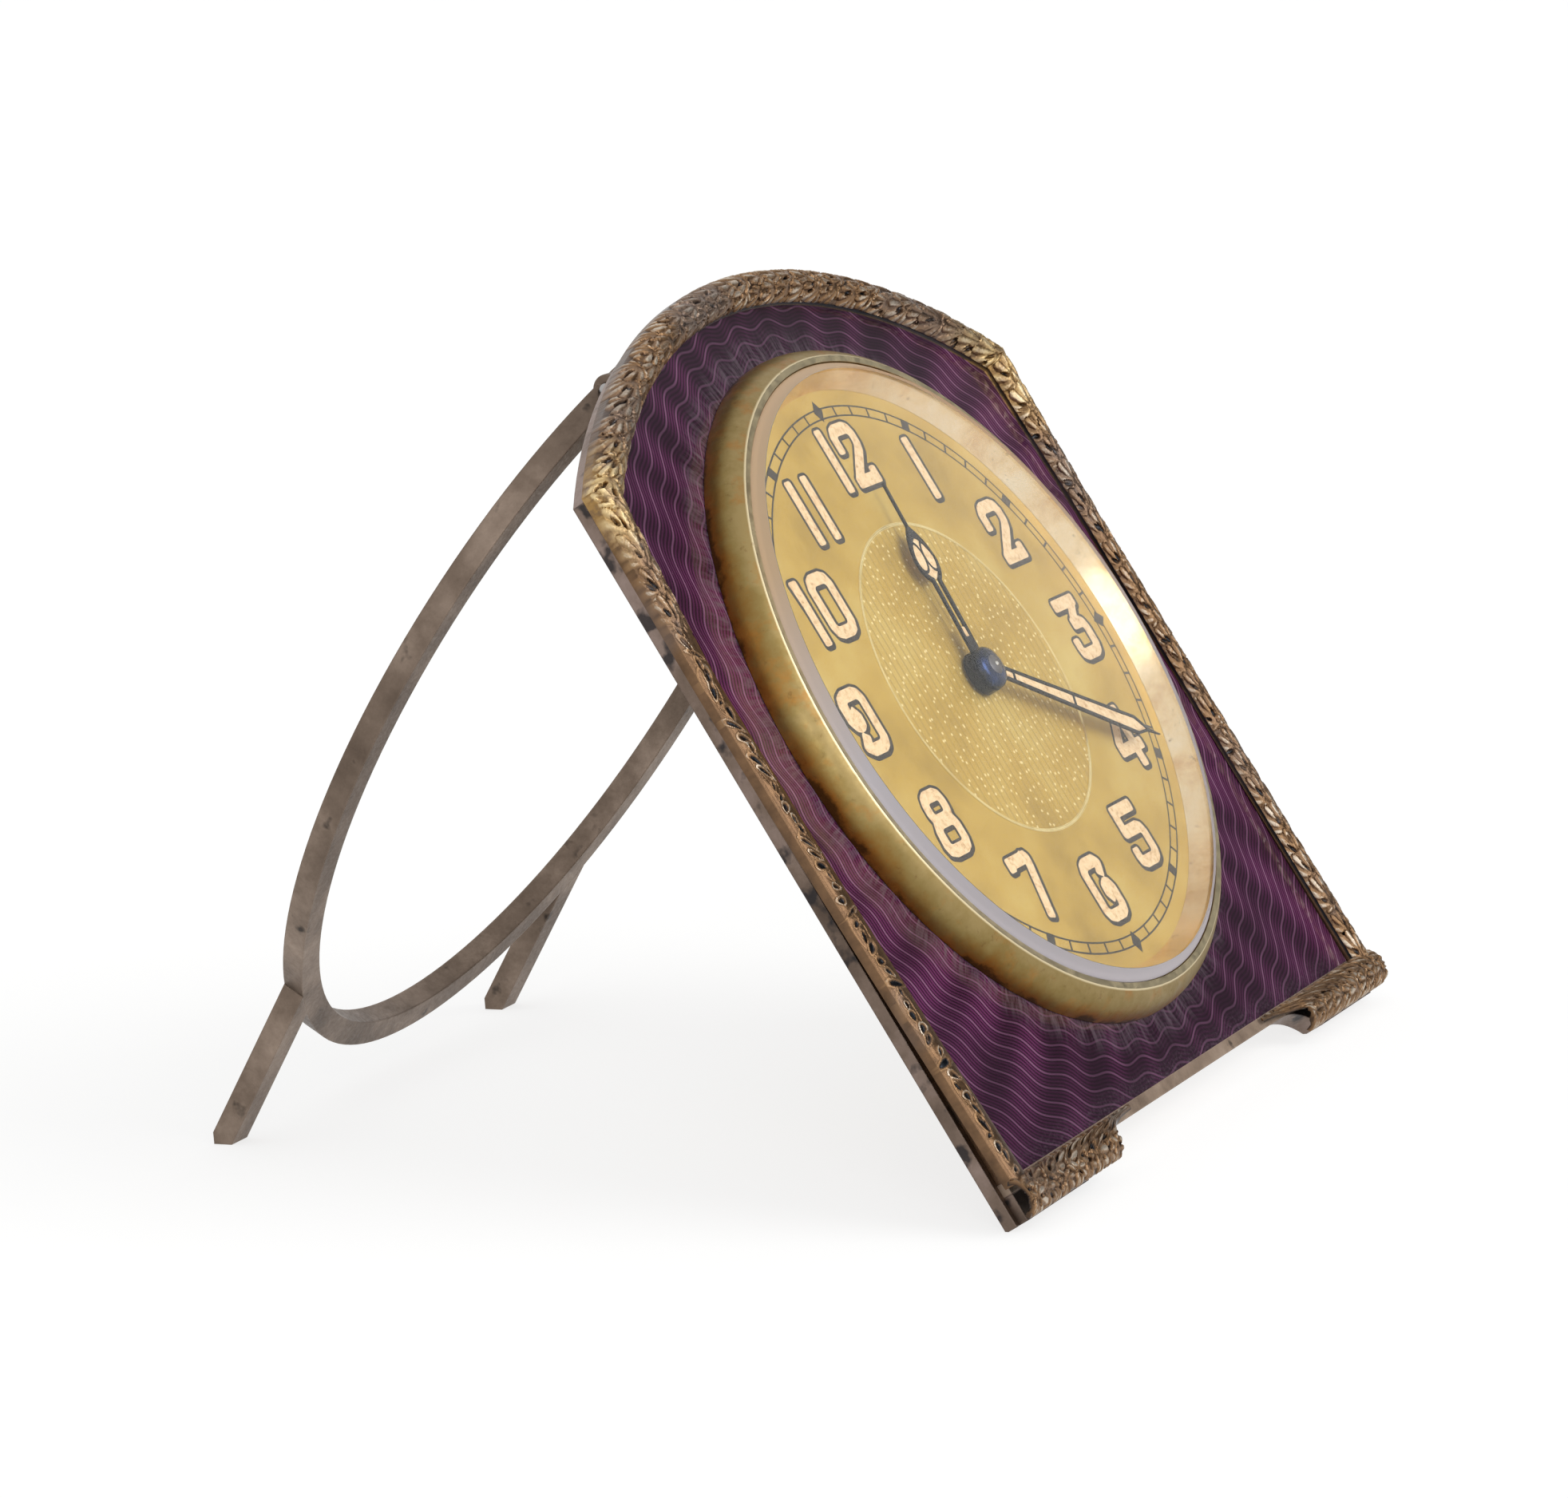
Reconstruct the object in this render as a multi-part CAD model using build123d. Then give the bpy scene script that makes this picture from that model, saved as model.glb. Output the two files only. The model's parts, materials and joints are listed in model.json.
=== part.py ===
"""A pendulette: a small strut clock with an enamel front, a gilt bezel and an eight-day movement.

Every piece is modelled in the dial frame, in millimetres: x to the right, y up along the leaning
plate, z out of the dial towards the viewer, with the dial face at z = 0. At the end the pieces are
stood on the table, with +Z up, the front towards -Y and the origin under the middle of the clock.
"""
import math
import os

from build123d import *

# Stance on the table
STRUT_OPEN = 62.401          # opening of the strut, set by its heel, degrees
FOOT_WEAR = 0.12             # height worn flat at the rear lower edge

# Plate outline: the fields of enamel left clear round the bezel
SIDE_FIELD = 4.8             # bezel to a side moulding
TOP_FIELD = 5.7              # bezel to the arch moulding, at the apex
BOTTOM_FIELD = 5.95          # bezel to the underside of the base rail
FOOT_HEIGHT = 2.4            # below the rail
ARCH_RADIUS = 60.56

# Plate build-up, depths behind the dial face
PLATE_REAR = 2.95
ENAMEL_DEPTH = 1.05
ENAMEL_THICKNESS = 0.7
BOARD_THICKNESS = 0.6
BAND_WIDTH = 1.1
BAND_THICKNESS = 0.6
ENAMEL_INSET = 1.5
RAIL_THICKNESS = 1.05
FOOT_LENGTH = 12.4
FOOT_SCOOP = 5.6             # length of the hollow curve beside a foot
FOOT_SCOOP_SAG = 0.5

# Rim mouldings
MOULDING_WIDTH = 2.7
MOULDING_HEIGHT = 1.5
MOULDING_EDGE = 0.25         # upright edge of the half-round
MOULDING_OVERHANG = 1.05     # beyond the plate edge
MOULDING_WEB = 0.75
MITRE_GAP = 0.03
MITRE_SPARE = 4.0            # degrees of arch cut away past each mitre
FOOT_MOULDING_WIDTH = 3.35
FOOT_MOULDING_HEIGHT = 1.6
FOOT_MOULDING_OVERHANG = 1.3
FOOT_MOULDING_LENGTH = 17.4
FOOT_MOULDING_WALL = 0.35
FOOT_TAIL_LENGTH = 6.5
FOOT_TAIL_HEIGHT = 0.6
LEFT_LIFT = 1.0              # the old frame stands off the plate at the lower left
RIGHT_LIFT = 0.3

# Bezel and crystal
BEZEL_SPREAD = 2.25          # foot of the bezel beyond the crystal
BEZEL_HEIGHT = 3.1           # above the enamel
BEZEL_BULGE = 0.35
BEZEL_LIP = 0.55
BEZEL_SKIRT = 0.6
REHAUT_LAP = 1.2             # inner slope over the edge of the dial
CRYSTAL_LAP = 0.7            # crystal beyond the dial
CRYSTAL_RISE = 1.1           # dome above its bevel
CRYSTAL_THICKNESS = 1.0
CRYSTAL_BEVEL = 0.85
CRYSTAL_EDGE = 0.1           # foot of the bevel below the lip
CRYSTAL_SEAT = 0.8

# Drum case
DRUM_MARGIN = 2.06           # bore of the drum beyond the barrel teeth
CUP_WALL = 0.7
CUP_LEDGE = 0.8
CUP_LEDGE_HEIGHT = 0.6
RETAINING_RING_WIDTH = 4.0
RETAINING_RING_HEIGHT = 0.8
SPANNER_SLOT = 2.0
COVER_THICKNESS = 0.6
COVER_LIP = 0.7
COVER_EDGE = 0.4

# Dial and hands
DIAL_RADIUS = 28.2
DIAL_THICKNESS = 0.5
HAND_THICKNESS = 0.2
HAND_FRAME = 0.28            # metal left around the luminous windows
HAND_BAR = 0.3               # bars across the windows
HAND_TIP_HALF_WIDTH = 0.14
HOUR_HAND_ANGLE = 4.65       # clockwise from twelve
HOUR_HAND_HEIGHT = 0.9       # above the dial
HOUR_SHORTFALL = 5.9         # shorter than the minute hand
HOUR_POINTER = 4.2           # fine point past the head
HOUR_HEAD_LENGTH = 5.1
HOUR_HEAD_BELLY = 2.0        # from the inner end of the head to its widest place
HOUR_HEAD_HALF_WIDTH = 1.75
HOUR_HEAD_SWELL = 0.3        # how far the flanks of the head stand outside straight lines
HOUR_STEM_HALF_WIDTH = 0.72
HOUR_STEM_SLOT = 0.34        # half width of the open stem
HOUR_BLOCK = 1.2             # solid metal between the boss and the open stem
HOUR_BOSS_RADIUS = 1.95
HOUR_BOSS_GAP = 0.25         # boss held off the dial
MINUTE_HAND_ANGLE = 118.6
MINUTE_HAND_HEIGHT = 1.4
MINUTE_REACH = 3.4           # tip held off the inner slope of the bezel
MINUTE_POINT = 3.4           # from the shoulders of the blade to the tip
MINUTE_POINT_TAPER = 1.7
MINUTE_ROOT_HALF_WIDTH = 0.6
MINUTE_BLADE_HALF_WIDTH = 0.92
MINUTE_BARS = (3.1, 11.4)    # bars across the blade, from the middle
MINUTE_BOSS_RADIUS = 1.36
MINUTE_BOSS_RISE = 0.15      # boss above the blade
MINUTE_COLLAR_RADIUS = 1.2

# Movement stack, front to back
MOTION_GAP = 1.9
MAIN_PLATE_THICKNESS = 1.0
TRAIN_GAP = 4.8
TOP_PLATE_THICKNESS = 0.9
RATCHET_GAP = 0.1
RATCHET_THICKNESS = 0.45
COVER_GAP = 0.35
TOP_PLATE_GAP = 1.3          # top plate inside the bore of the drum
SPACER_WALL = 0.8
PILLAR_INSET = 2.4           # pillars inside the edge of the top plate
PILLAR_RADIUS = 1.1
PILLAR_ANGLES = (80, 175, 245, 325)
SCREW_RADIUS = 0.5
SCREW_HEAD_RADIUS = 0.9
SCREW_HEAD_HEIGHT = 0.45
SCREW_DEPTH = 1.6
SCREW_SLOT = 0.25

# Fits
RUNNING = 0.03               # radial clearance of a turning pivot
SLIP = 0.02                  # radial clearance of a still fit
END_SHAKE = 0.1
CASE_GAP = 0.1               # radial clearance of the movement in its case
SEAT_GAP = 0.05              # clearance under a clamped edge

# Tooth form, in modules and in shares of the circular pitch
WHEEL_ADDENDUM = 0.85
WHEEL_DEDENDUM = 1.2
WHEEL_TIP = 0.18
WHEEL_ROOT = 0.58
WHEEL_RIM = 2.0              # solid rim below the tooth roots
PINION_ADDENDUM = 0.75
PINION_DEDENDUM = 1.25
PINION_TIP = 0.16
PINION_ROOT = 0.48

# Going train
WHEEL_THICKNESS = 0.4
CROSSING_FILL = 0.8          # share of the web taken up by a lightening hole
PIVOT_RADIUS = 0.25
ARBOR_RADIUS = 0.45
CENTRE_PIVOT_RADIUS = 0.6
CENTRE_BODY_RADIUS = 0.7
CENTRE_FRONT_RADIUS = 0.4
CENTRE_REAR_RADIUS = 0.5
BARREL_TEETH = 60
INTERMEDIATE_LEAVES = 10
INTERMEDIATE_TEETH = 60
CENTRE_LEAVES = 10
CENTRE_TEETH = 64
THIRD_LEAVES = 8
THIRD_TEETH = 60
FOURTH_LEAVES = 8
FOURTH_TEETH = 60
ESCAPE_LEAVES = 6
ESCAPE_TEETH = 15
BARREL_MODULE = 0.28
INTERMEDIATE_MODULE = 0.22
CENTRE_MODULE = 0.19
THIRD_MODULE = 0.17
FOURTH_MODULE = 0.16
ESCAPE_RADIUS = 2.7
ESCAPE_TOOTH_DEPTH = 0.75
ESCAPE_TOOTH_SHARES = (0.0, 0.1, 0.33, 0.95)   # tip, heel, back and next face, in pitches
BARREL_DISTANCE = 10.6       # barrel axis from the dial centre
BARREL_BEARING = 20.0        # directions in degrees, counter-clockwise from +x
THIRD_BEARING = 150.0
FOURTH_BEARING = 225.0
ESCAPE_BEARING = 280.0
PALLET_BEARING = 300.0
BALANCE_BEARING = 335.0

# Depths of the wheels behind the main plate
CENTRE_WHEEL_DEPTH = 0.35
BARREL_DEPTH = 1.05
BARREL_TOOTH_DEPTH = 2.95
INTERMEDIATE_WHEEL_DEPTH = 3.85
THIRD_WHEEL_DEPTH = 1.6
FOURTH_WHEEL_DEPTH = 2.6
ESCAPE_WHEEL_DEPTH = 3.5
PINION_OVERLAP = 0.12        # pinion leaves run past the wheel on each side

# Barrel and winding
BARREL_HEIGHT = 2.5
BARREL_WALL = 0.5
BARREL_FLOOR = 0.4
BARREL_ARBOR_RADIUS = 0.85
BARREL_HUB_RADIUS = 1.5
BARREL_PIVOT_RADIUS = 0.6
BARREL_TOP_PIVOT_RADIUS = 1.05
WINDING_SQUARE = 1.4
SPRING_THICKNESS = 0.3
SPRING_PITCH = 1.1
SPRING_TURNS = 5
RATCHET_TEETH = 24
RATCHET_RADIUS = 4.5
RATCHET_TOOTH_DEPTH = 0.55
RATCHET_FACE_SHARE = 0.1     # slope of a locking face, in pitches
CLICK_DISTANCE = 6.4         # click post from the barrel axis
CLICK_BEARING = 110.0
CLICK_POST_RADIUS = 0.5
CLICK_BOSS_RADIUS = 1.1
CLICK_CLEARANCE = 0.1        # beak held off the tip circle
CLICK_WIDTH = 0.8
KEY_HUB_RADIUS = 1.9
KEY_HUB_LENGTH = 4.6
KEY_GAP = 0.3                # behind the back cover
KEY_SPAN = 14.0
KEY_WING_HEIGHT = 5.6
KEY_WAIST = 3.4
KEY_WING_THICKNESS = 0.9
KEY_WING_HOLE = 1.3
KNOB_RADIUS = 2.3
KNOB_LENGTH = 2.4
KNOB_FLUTES = 20
KNOB_FLUTE_DEPTH = 0.18

# Motion work
MOTION_MODULE = 0.2
CANNON_TEETH = 10
MINUTE_WHEEL_TEETH = 30
MINUTE_LEAVES = 8
HOUR_WHEEL_TEETH = 32
MINUTE_WHEEL_BEARING = 60.0
MINUTE_POST_RADIUS = 0.45
CANNON_RADIUS = 0.68
HOUR_PIPE_RADIUS = 0.98
DIAL_HOLE_RADIUS = 1.3

# Escapement
PALLET_DISTANCE = 3.7
PALLET_HALF_SPAN = 26.0      # degrees each side, seen from the escape wheel
PALLET_CLEARANCE = 0.06      # stones held off the tip circle at mid swing
STONE_WIDTH = 0.3
STONE_LENGTH = 0.75
STONE_SET = 0.52             # from the working face to the middle of its arm
PALLET_ARM_WIDTH = 0.5
LEVER_WIDTH = 0.4
PALLET_BOSS_RADIUS = 0.6
BALANCE_DISTANCE = 5.9       # balance staff from the pallet arbor
BALANCE_RADIUS = 5.2
BALANCE_RIM = 0.7
BALANCE_ARM = 0.7
BALANCE_HUB_RADIUS = 0.9
BALANCE_THICKNESS = 0.5
BALANCE_WHEEL_DEPTH = 1.8
STAFF_RADIUS = 0.35
STAFF_PIVOT_RADIUS = 0.2
ROLLER_RADIUS = 1.1
ROLLER_DEPTH = 2.9
ROLLER_THICKNESS = 0.35
IMPULSE_PIN_CIRCLE = 0.85
IMPULSE_PIN_RADIUS = 0.12
FORK_CLEARANCE = 0.15        # fork horns held off the impulse pin's circle
HAIRSPRING_DEPTH = 0.85
HAIRSPRING_HEIGHT = 0.35
HAIRSPRING_THICKNESS = 0.12
HAIRSPRING_PITCH = 0.6
HAIRSPRING_START = 0.8
HAIRSPRING_TURNS = 4
STUD_RADIUS = 0.35

# Easel strut and its hinge
HINGE_BELOW_APEX = 4.5
HINGE_GAP = 1.6              # hinge axis behind the plate
KNUCKLE_RADIUS = 1.3
KNUCKLE_LENGTH = 6.5         # each knuckle of the strut
KNUCKLE_GAP = 0.6            # between the strut's knuckles and the fixed one
KNUCKLE_FOOT = 2.2
PIN_RADIUS = 0.6
PIN_PROUD = 0.3              # pin past the outer knuckles
HEEL_GAP = 0.1               # heel of the open strut off the plate
HOOP_HALF_WIDTH = 35.35
HOOP_HALF_LENGTH = 37.9
HOOP_CROWN = 6.5             # the whole oval would rise this far above the hinge axis
HOOP_BAR = 2.3               # radial thickness of the bent bar
STRUT_BAR = 2.0              # thickness across the strut
LEG_WIDTH = 2.5
LEG_INSET = 10.35            # outer face of a leg inside the widest part of the hoop
LEG_REACH = 5.0              # legs past the hoop
LEG_CHAMFER = 1.2
LEG_CHAMFER_DEPTH = 0.55

# Outline and radii worked out from the sizes above
BARREL_TIP_RADIUS = BARREL_MODULE * (BARREL_TEETH / 2 + WHEEL_ADDENDUM)
CUP_BORE = BARREL_DISTANCE + BARREL_TIP_RADIUS + DRUM_MARGIN
CUP_RADIUS = CUP_BORE + CUP_WALL
RETAINING_RING_RADIUS = CUP_RADIUS + RETAINING_RING_WIDTH
TOP_PLATE_RADIUS = CUP_BORE - TOP_PLATE_GAP
PILLAR_CIRCLE = TOP_PLATE_RADIUS - PILLAR_INSET
CRYSTAL_RADIUS = DIAL_RADIUS + CRYSTAL_LAP
REHAUT_RADIUS = DIAL_RADIUS - REHAUT_LAP
BEZEL_RADIUS = CRYSTAL_RADIUS + BEZEL_SPREAD
RIM_SEAT = MOULDING_WIDTH - MOULDING_OVERHANG
HALF_WIDTH = BEZEL_RADIUS + SIDE_FIELD + RIM_SEAT
DIAL_TO_APEX = BEZEL_RADIUS + TOP_FIELD + RIM_SEAT
DIAL_TO_RAIL = BEZEL_RADIUS + BOTTOM_FIELD
DIAL_TO_FEET = DIAL_TO_RAIL + FOOT_HEIGHT
FOOT_TOE = HALF_WIDTH - FOOT_LENGTH
FOOT_MOULDING_END = HALF_WIDTH + FOOT_MOULDING_OVERHANG
FOOT_MOULDING_TOE = FOOT_MOULDING_END - FOOT_MOULDING_LENGTH
FOOT_TAIL_TOE = FOOT_MOULDING_TOE - FOOT_TAIL_LENGTH
MINUTE_HAND_LENGTH = REHAUT_RADIUS - MINUTE_REACH
HOUR_HAND_LENGTH = MINUTE_HAND_LENGTH - HOUR_SHORTFALL

# Levels, front to back
Z_ENAMEL = -ENAMEL_DEPTH
Z_REAR = -PLATE_REAR
Z_BAND = Z_REAR + BAND_WIDTH
Z_BOARD = Z_ENAMEL - ENAMEL_THICKNESS
Z_FLOOR = Z_BOARD - BOARD_THICKNESS
Z_DIAL_REAR = -DIAL_THICKNESS
Z_MAIN_FRONT = Z_DIAL_REAR - MOTION_GAP
Z_MAIN_REAR = Z_MAIN_FRONT - MAIN_PLATE_THICKNESS
Z_TOP_FRONT = Z_MAIN_REAR - TRAIN_GAP
Z_TOP_REAR = Z_TOP_FRONT - TOP_PLATE_THICKNESS
Z_RATCHET = Z_TOP_REAR - RATCHET_GAP - RATCHET_THICKNESS
Z_COVER_IN = Z_RATCHET - COVER_GAP
Z_COVER_OUT = Z_COVER_IN - COVER_THICKNESS
Z_KEY = Z_COVER_OUT - KEY_GAP
RAIL_TOP = RAIL_THICKNESS - DIAL_TO_RAIL
ARCH_CENTRE = DIAL_TO_APEX - ARCH_RADIUS
HINGE_Y = DIAL_TO_APEX - HINGE_BELOW_APEX
HINGE_Z = Z_REAR - HINGE_GAP

# Strut, and the lean that it gives the plate when the feet and both legs stand on the table
HOOP_CENTRE = HOOP_HALF_LENGTH - HOOP_CROWN
STRUT_LENGTH = HOOP_CENTRE + HOOP_HALF_LENGTH + LEG_REACH
LEG_OUTER = HOOP_HALF_WIDTH - LEG_INSET
STRUT_KNUCKLE_END = HOOP_HALF_WIDTH * math.sqrt(1 - (HOOP_CENTRE / HOOP_HALF_LENGTH) ** 2)
STRUT_KNUCKLE_START = STRUT_KNUCKLE_END - KNUCKLE_LENGTH
FIXED_KNUCKLE_HALF_LENGTH = STRUT_KNUCKLE_START - KNUCKLE_GAP
PIN_HALF_LENGTH = STRUT_KNUCKLE_END + PIN_PROUD
ALONG_PLATE = DIAL_TO_FEET + HINGE_Y - STRUT_LENGTH * math.cos(math.radians(STRUT_OPEN))
OFF_PLATE = HINGE_GAP + STRUT_LENGTH * math.sin(math.radians(STRUT_OPEN))
LEAN = math.degrees(math.acos(FOOT_WEAR / math.hypot(ALONG_PLATE, OFF_PLATE))
                    - math.atan2(OFF_PLATE, ALONG_PLATE))

BASE = (Align.CENTER, Align.CENTER, Align.MIN)
parts = {}


def polar(distance, bearing, origin=(0.0, 0.0)):
    """A point at a distance and a bearing in degrees from an origin."""
    angle = math.radians(bearing)
    return (origin[0] + distance * math.cos(angle), origin[1] + distance * math.sin(angle))


def disc(radius, z_low, z_high, at=(0.0, 0.0)):
    """An upright cylinder between two levels."""
    return Pos(at[0], at[1], z_low) * Cylinder(radius, z_high - z_low, align=BASE)


def ring(outer, inner, z_low, z_high, at=(0.0, 0.0)):
    """A cylinder with a bore."""
    return disc(outer, z_low, z_high, at) - disc(inner, z_low, z_high, at)


def slab(sketch, z_low, z_high):
    """A flat outline given thickness between two levels."""
    return extrude(Pos(0, 0, z_low) * sketch, z_high - z_low)


def outline(*edges):
    """A face inside a closed run of edges."""
    return make_face([edge for piece in edges for edge in piece.edges()])


def lathe(face, arc=360.0):
    """A radius and height profile turned about the dial axis."""
    return revolve(Plane.XZ * face, Axis.Z, arc)


def bar_box(x_low, x_high, y_low, y_high, z_low, z_high):
    """A box given by its limits."""
    box = Box(x_high - x_low, y_high - y_low, z_high - z_low)
    return Pos((x_low + x_high) / 2, (y_low + y_high) / 2, (z_low + z_high) / 2) * box


def left_of(part):
    """The same piece on the other side of the middle plane."""
    return mirror(part, about=Plane.YZ)


# Plate, bands and feet
def arch_face(inset, bottom):
    """The arched outline of the plate, drawn in by an inset."""
    half = HALF_WIDTH - inset
    radius = ARCH_RADIUS - inset
    shoulder = ARCH_CENTRE + math.sqrt(radius ** 2 - half ** 2)
    sides = Polyline((-half, shoulder), (-half, bottom), (half, bottom), (half, shoulder))
    arch = ThreePointArc((half, shoulder), (0, ARCH_CENTRE + radius), (-half, shoulder))
    return outline(sides, arch)


SHOULDER_Y = ARCH_CENTRE + math.sqrt(ARCH_RADIUS ** 2 - HALF_WIDTH ** 2)
DIAL_HEIGHT = (DIAL_TO_FEET * math.cos(math.radians(LEAN))
               + PLATE_REAR * math.sin(math.radians(LEAN)) - FOOT_WEAR)
STAND = Pos(0, 0, DIAL_HEIGHT) * Rot(90 - LEAN, 0, 0)
FLOOR_SIZE = 4 * (DIAL_TO_APEX + DIAL_TO_FEET)
BELOW_TABLE = STAND.inverse() * Box(
    FLOOR_SIZE, FLOOR_SIZE, FLOOR_SIZE, align=(Align.CENTER, Align.CENTER, Align.MAX))
CUP_HOLE = disc(CUP_RADIUS + CASE_GAP, Z_COVER_OUT, 0)


def foot_block():
    """The right foot: a block with a hollow curve towards the middle."""
    top = -DIAL_TO_RAIL
    bottom = -DIAL_TO_FEET
    inner = FOOT_TOE - FOOT_SCOOP
    half = HALF_WIDTH - BAND_THICKNESS
    middle = ((FOOT_TOE + inner) / 2 + FOOT_SCOOP_SAG / 2, (top + bottom) / 2 + FOOT_SCOOP_SAG)
    scoop = ThreePointArc((FOOT_TOE, bottom), middle, (inner, top))
    sides = Polyline((inner, top), (half, top), (half, bottom), (FOOT_TOE, bottom))
    return slab(outline(scoop, sides), Z_REAR, Z_ENAMEL) - BELOW_TABLE


def build_plate():
    """Back plate, edge bands, rail, feet, board and enamel."""
    inner_half = HALF_WIDTH - BAND_THICKNESS
    parts["back_plate"] = slab(arch_face(BAND_THICKNESS, RAIL_TOP), Z_REAR, Z_FLOOR) - CUP_HOLE
    band = slab(
        arch_face(0, -DIAL_TO_FEET) - arch_face(BAND_THICKNESS, -DIAL_TO_FEET), Z_REAR, Z_BAND)
    over = bar_box(-HALF_WIDTH, HALF_WIDTH, SHOULDER_Y, DIAL_TO_APEX, Z_REAR, Z_BAND)
    right = bar_box(0, HALF_WIDTH, -DIAL_TO_FEET, SHOULDER_Y, Z_REAR, Z_BAND)
    parts["arch_band"] = band & over
    parts["right_band"] = (band & right) - BELOW_TABLE
    parts["left_band"] = left_of(parts["right_band"])
    parts["base_rail"] = bar_box(-inner_half, inner_half, -DIAL_TO_RAIL, RAIL_TOP, Z_REAR, Z_ENAMEL)
    parts["right_foot"] = foot_block()
    parts["left_foot"] = left_of(parts["right_foot"])
    field = arch_face(ENAMEL_INSET, RAIL_TOP)
    parts["backing_board"] = slab(field, Z_FLOOR, Z_BOARD) - CUP_HOLE
    parts["enamel_panel"] = slab(field, Z_BOARD, Z_ENAMEL) - CUP_HOLE


# Rim mouldings
def half_round(width, height):
    """Half-round section on a flat base, from 0 to width."""
    base = Polyline((0, MOULDING_EDGE), (0, 0), (width, 0), (width, MOULDING_EDGE))
    dome = ThreePointArc((width, MOULDING_EDGE), (width / 2, height), (0, MOULDING_EDGE))
    return outline(base, dome)


MOULDING_INNER = HALF_WIDTH + MOULDING_OVERHANG - MOULDING_WIDTH
WEB_OUTER = BAND_THICKNESS + SEAT_GAP


def mitre_box(side):
    """What lies past the mitre at the right shoulder, seen from the arch (1) or the side (-1)."""
    slope = math.degrees(math.asin(HALF_WIDTH / ARCH_RADIUS))
    to_arch = 90 + (90 - slope) / 2
    turn = to_arch + 180 if side > 0 else to_arch
    block = Box(FLOOR_SIZE, FLOOR_SIZE, FLOOR_SIZE, align=(Align.MIN, Align.CENTER, Align.CENTER))
    return Pos(HALF_WIDTH, SHOULDER_Y, 0) * Rot(0, 0, turn) * Pos(-MITRE_GAP, 0, 0) * block


def arch_moulding():
    """Half-round and web carried round the arch, mitred at both shoulders."""
    sweep = 2 * (math.degrees(math.asin(HALF_WIDTH / ARCH_RADIUS)) + MITRE_SPARE)
    inner = ARCH_RADIUS + MOULDING_OVERHANG - MOULDING_WIDTH
    web = ARCH_RADIUS - WEB_OUTER - MOULDING_WEB / 2
    dome = Pos(inner, Z_ENAMEL) * half_round(MOULDING_WIDTH, MOULDING_HEIGHT)
    stem = Pos(web, (Z_ENAMEL + Z_FLOOR) / 2) * Rectangle(MOULDING_WEB, Z_ENAMEL - Z_FLOOR)
    body = lathe(dome, sweep) + lathe(stem, sweep)
    body = Pos(0, ARCH_CENTRE, 0) * Rot(0, 0, 90 - sweep / 2) * body
    past = mitre_box(1)
    return body - past - left_of(past)


def side_moulding(lift):
    """The right side moulding; its lower end stands off the plate by the lift."""
    bottom = RAIL_TOP + SEAT_GAP
    length = SHOULDER_Y - bottom
    spare = MOULDING_WIDTH
    section = Plane.XZ * Pos(MOULDING_INNER, 0) * half_round(MOULDING_WIDTH, MOULDING_HEIGHT)
    bar = Pos(0, spare, 0) * extrude(section, length + spare)
    bar = Pos(0, SHOULDER_Y, Z_ENAMEL) * Rot(-math.degrees(math.atan2(lift, length)), 0, 0) * bar
    web_low = HALF_WIDTH - WEB_OUTER - MOULDING_WEB
    web_face = Plane.YZ * Polygon(
        (SHOULDER_Y + spare, Z_FLOOR), (SHOULDER_Y + spare, Z_ENAMEL), (SHOULDER_Y, Z_ENAMEL),
        (bottom, Z_ENAMEL + lift), (bottom, Z_FLOOR), align=None)
    web = Pos(web_low, 0, 0) * extrude(web_face, MOULDING_WEB)
    return (bar + web) - mitre_box(-1)


def foot_moulding(lift):
    """The right foot moulding: a hollow half-round with a thin tail towards the middle."""
    width = FOOT_MOULDING_WIDTH
    height = FOOT_MOULDING_HEIGHT
    wall = FOOT_MOULDING_WALL
    hollow = Pos(wall, wall) * half_round(width - 2 * wall, height - 2 * wall)
    section = Plane.YZ * (half_round(width, height) - hollow)
    top = RAIL_TOP
    low = top - width
    level = Z_ENAMEL + lift
    tube = Pos(FOOT_MOULDING_TOE, low, level) * extrude(section, FOOT_MOULDING_LENGTH)
    tail_low = top - width / 4
    tail_face = outline(
        Polyline((FOOT_MOULDING_TOE, top - width / 2), (FOOT_MOULDING_TOE, top), (FOOT_TAIL_TOE, top),
                 (FOOT_TAIL_TOE, tail_low)),
        ThreePointArc((FOOT_TAIL_TOE, tail_low),
                      ((FOOT_TAIL_TOE + FOOT_MOULDING_TOE) / 2, tail_low - wall / 2),
                      (FOOT_MOULDING_TOE, top - width / 2)))
    tail = slab(tail_face, level, level + FOOT_TAIL_HEIGHT)
    seat = bar_box(FOOT_TOE, HALF_WIDTH - WEB_OUTER, low + wall, top - wall, Z_ENAMEL, level)
    tail_seat = bar_box(FOOT_TAIL_TOE + wall, FOOT_MOULDING_TOE, tail_low + wall, top - wall / 2,
                        Z_ENAMEL, level)
    return tube + tail + seat + tail_seat


def build_mouldings():
    """The five rim mouldings."""
    parts["arch_moulding"] = arch_moulding()
    parts["right_moulding"] = side_moulding(RIGHT_LIFT)
    parts["left_moulding"] = left_of(side_moulding(LEFT_LIFT))
    parts["right_foot_moulding"] = foot_moulding(RIGHT_LIFT)
    parts["left_foot_moulding"] = left_of(foot_moulding(LEFT_LIFT))


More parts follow.
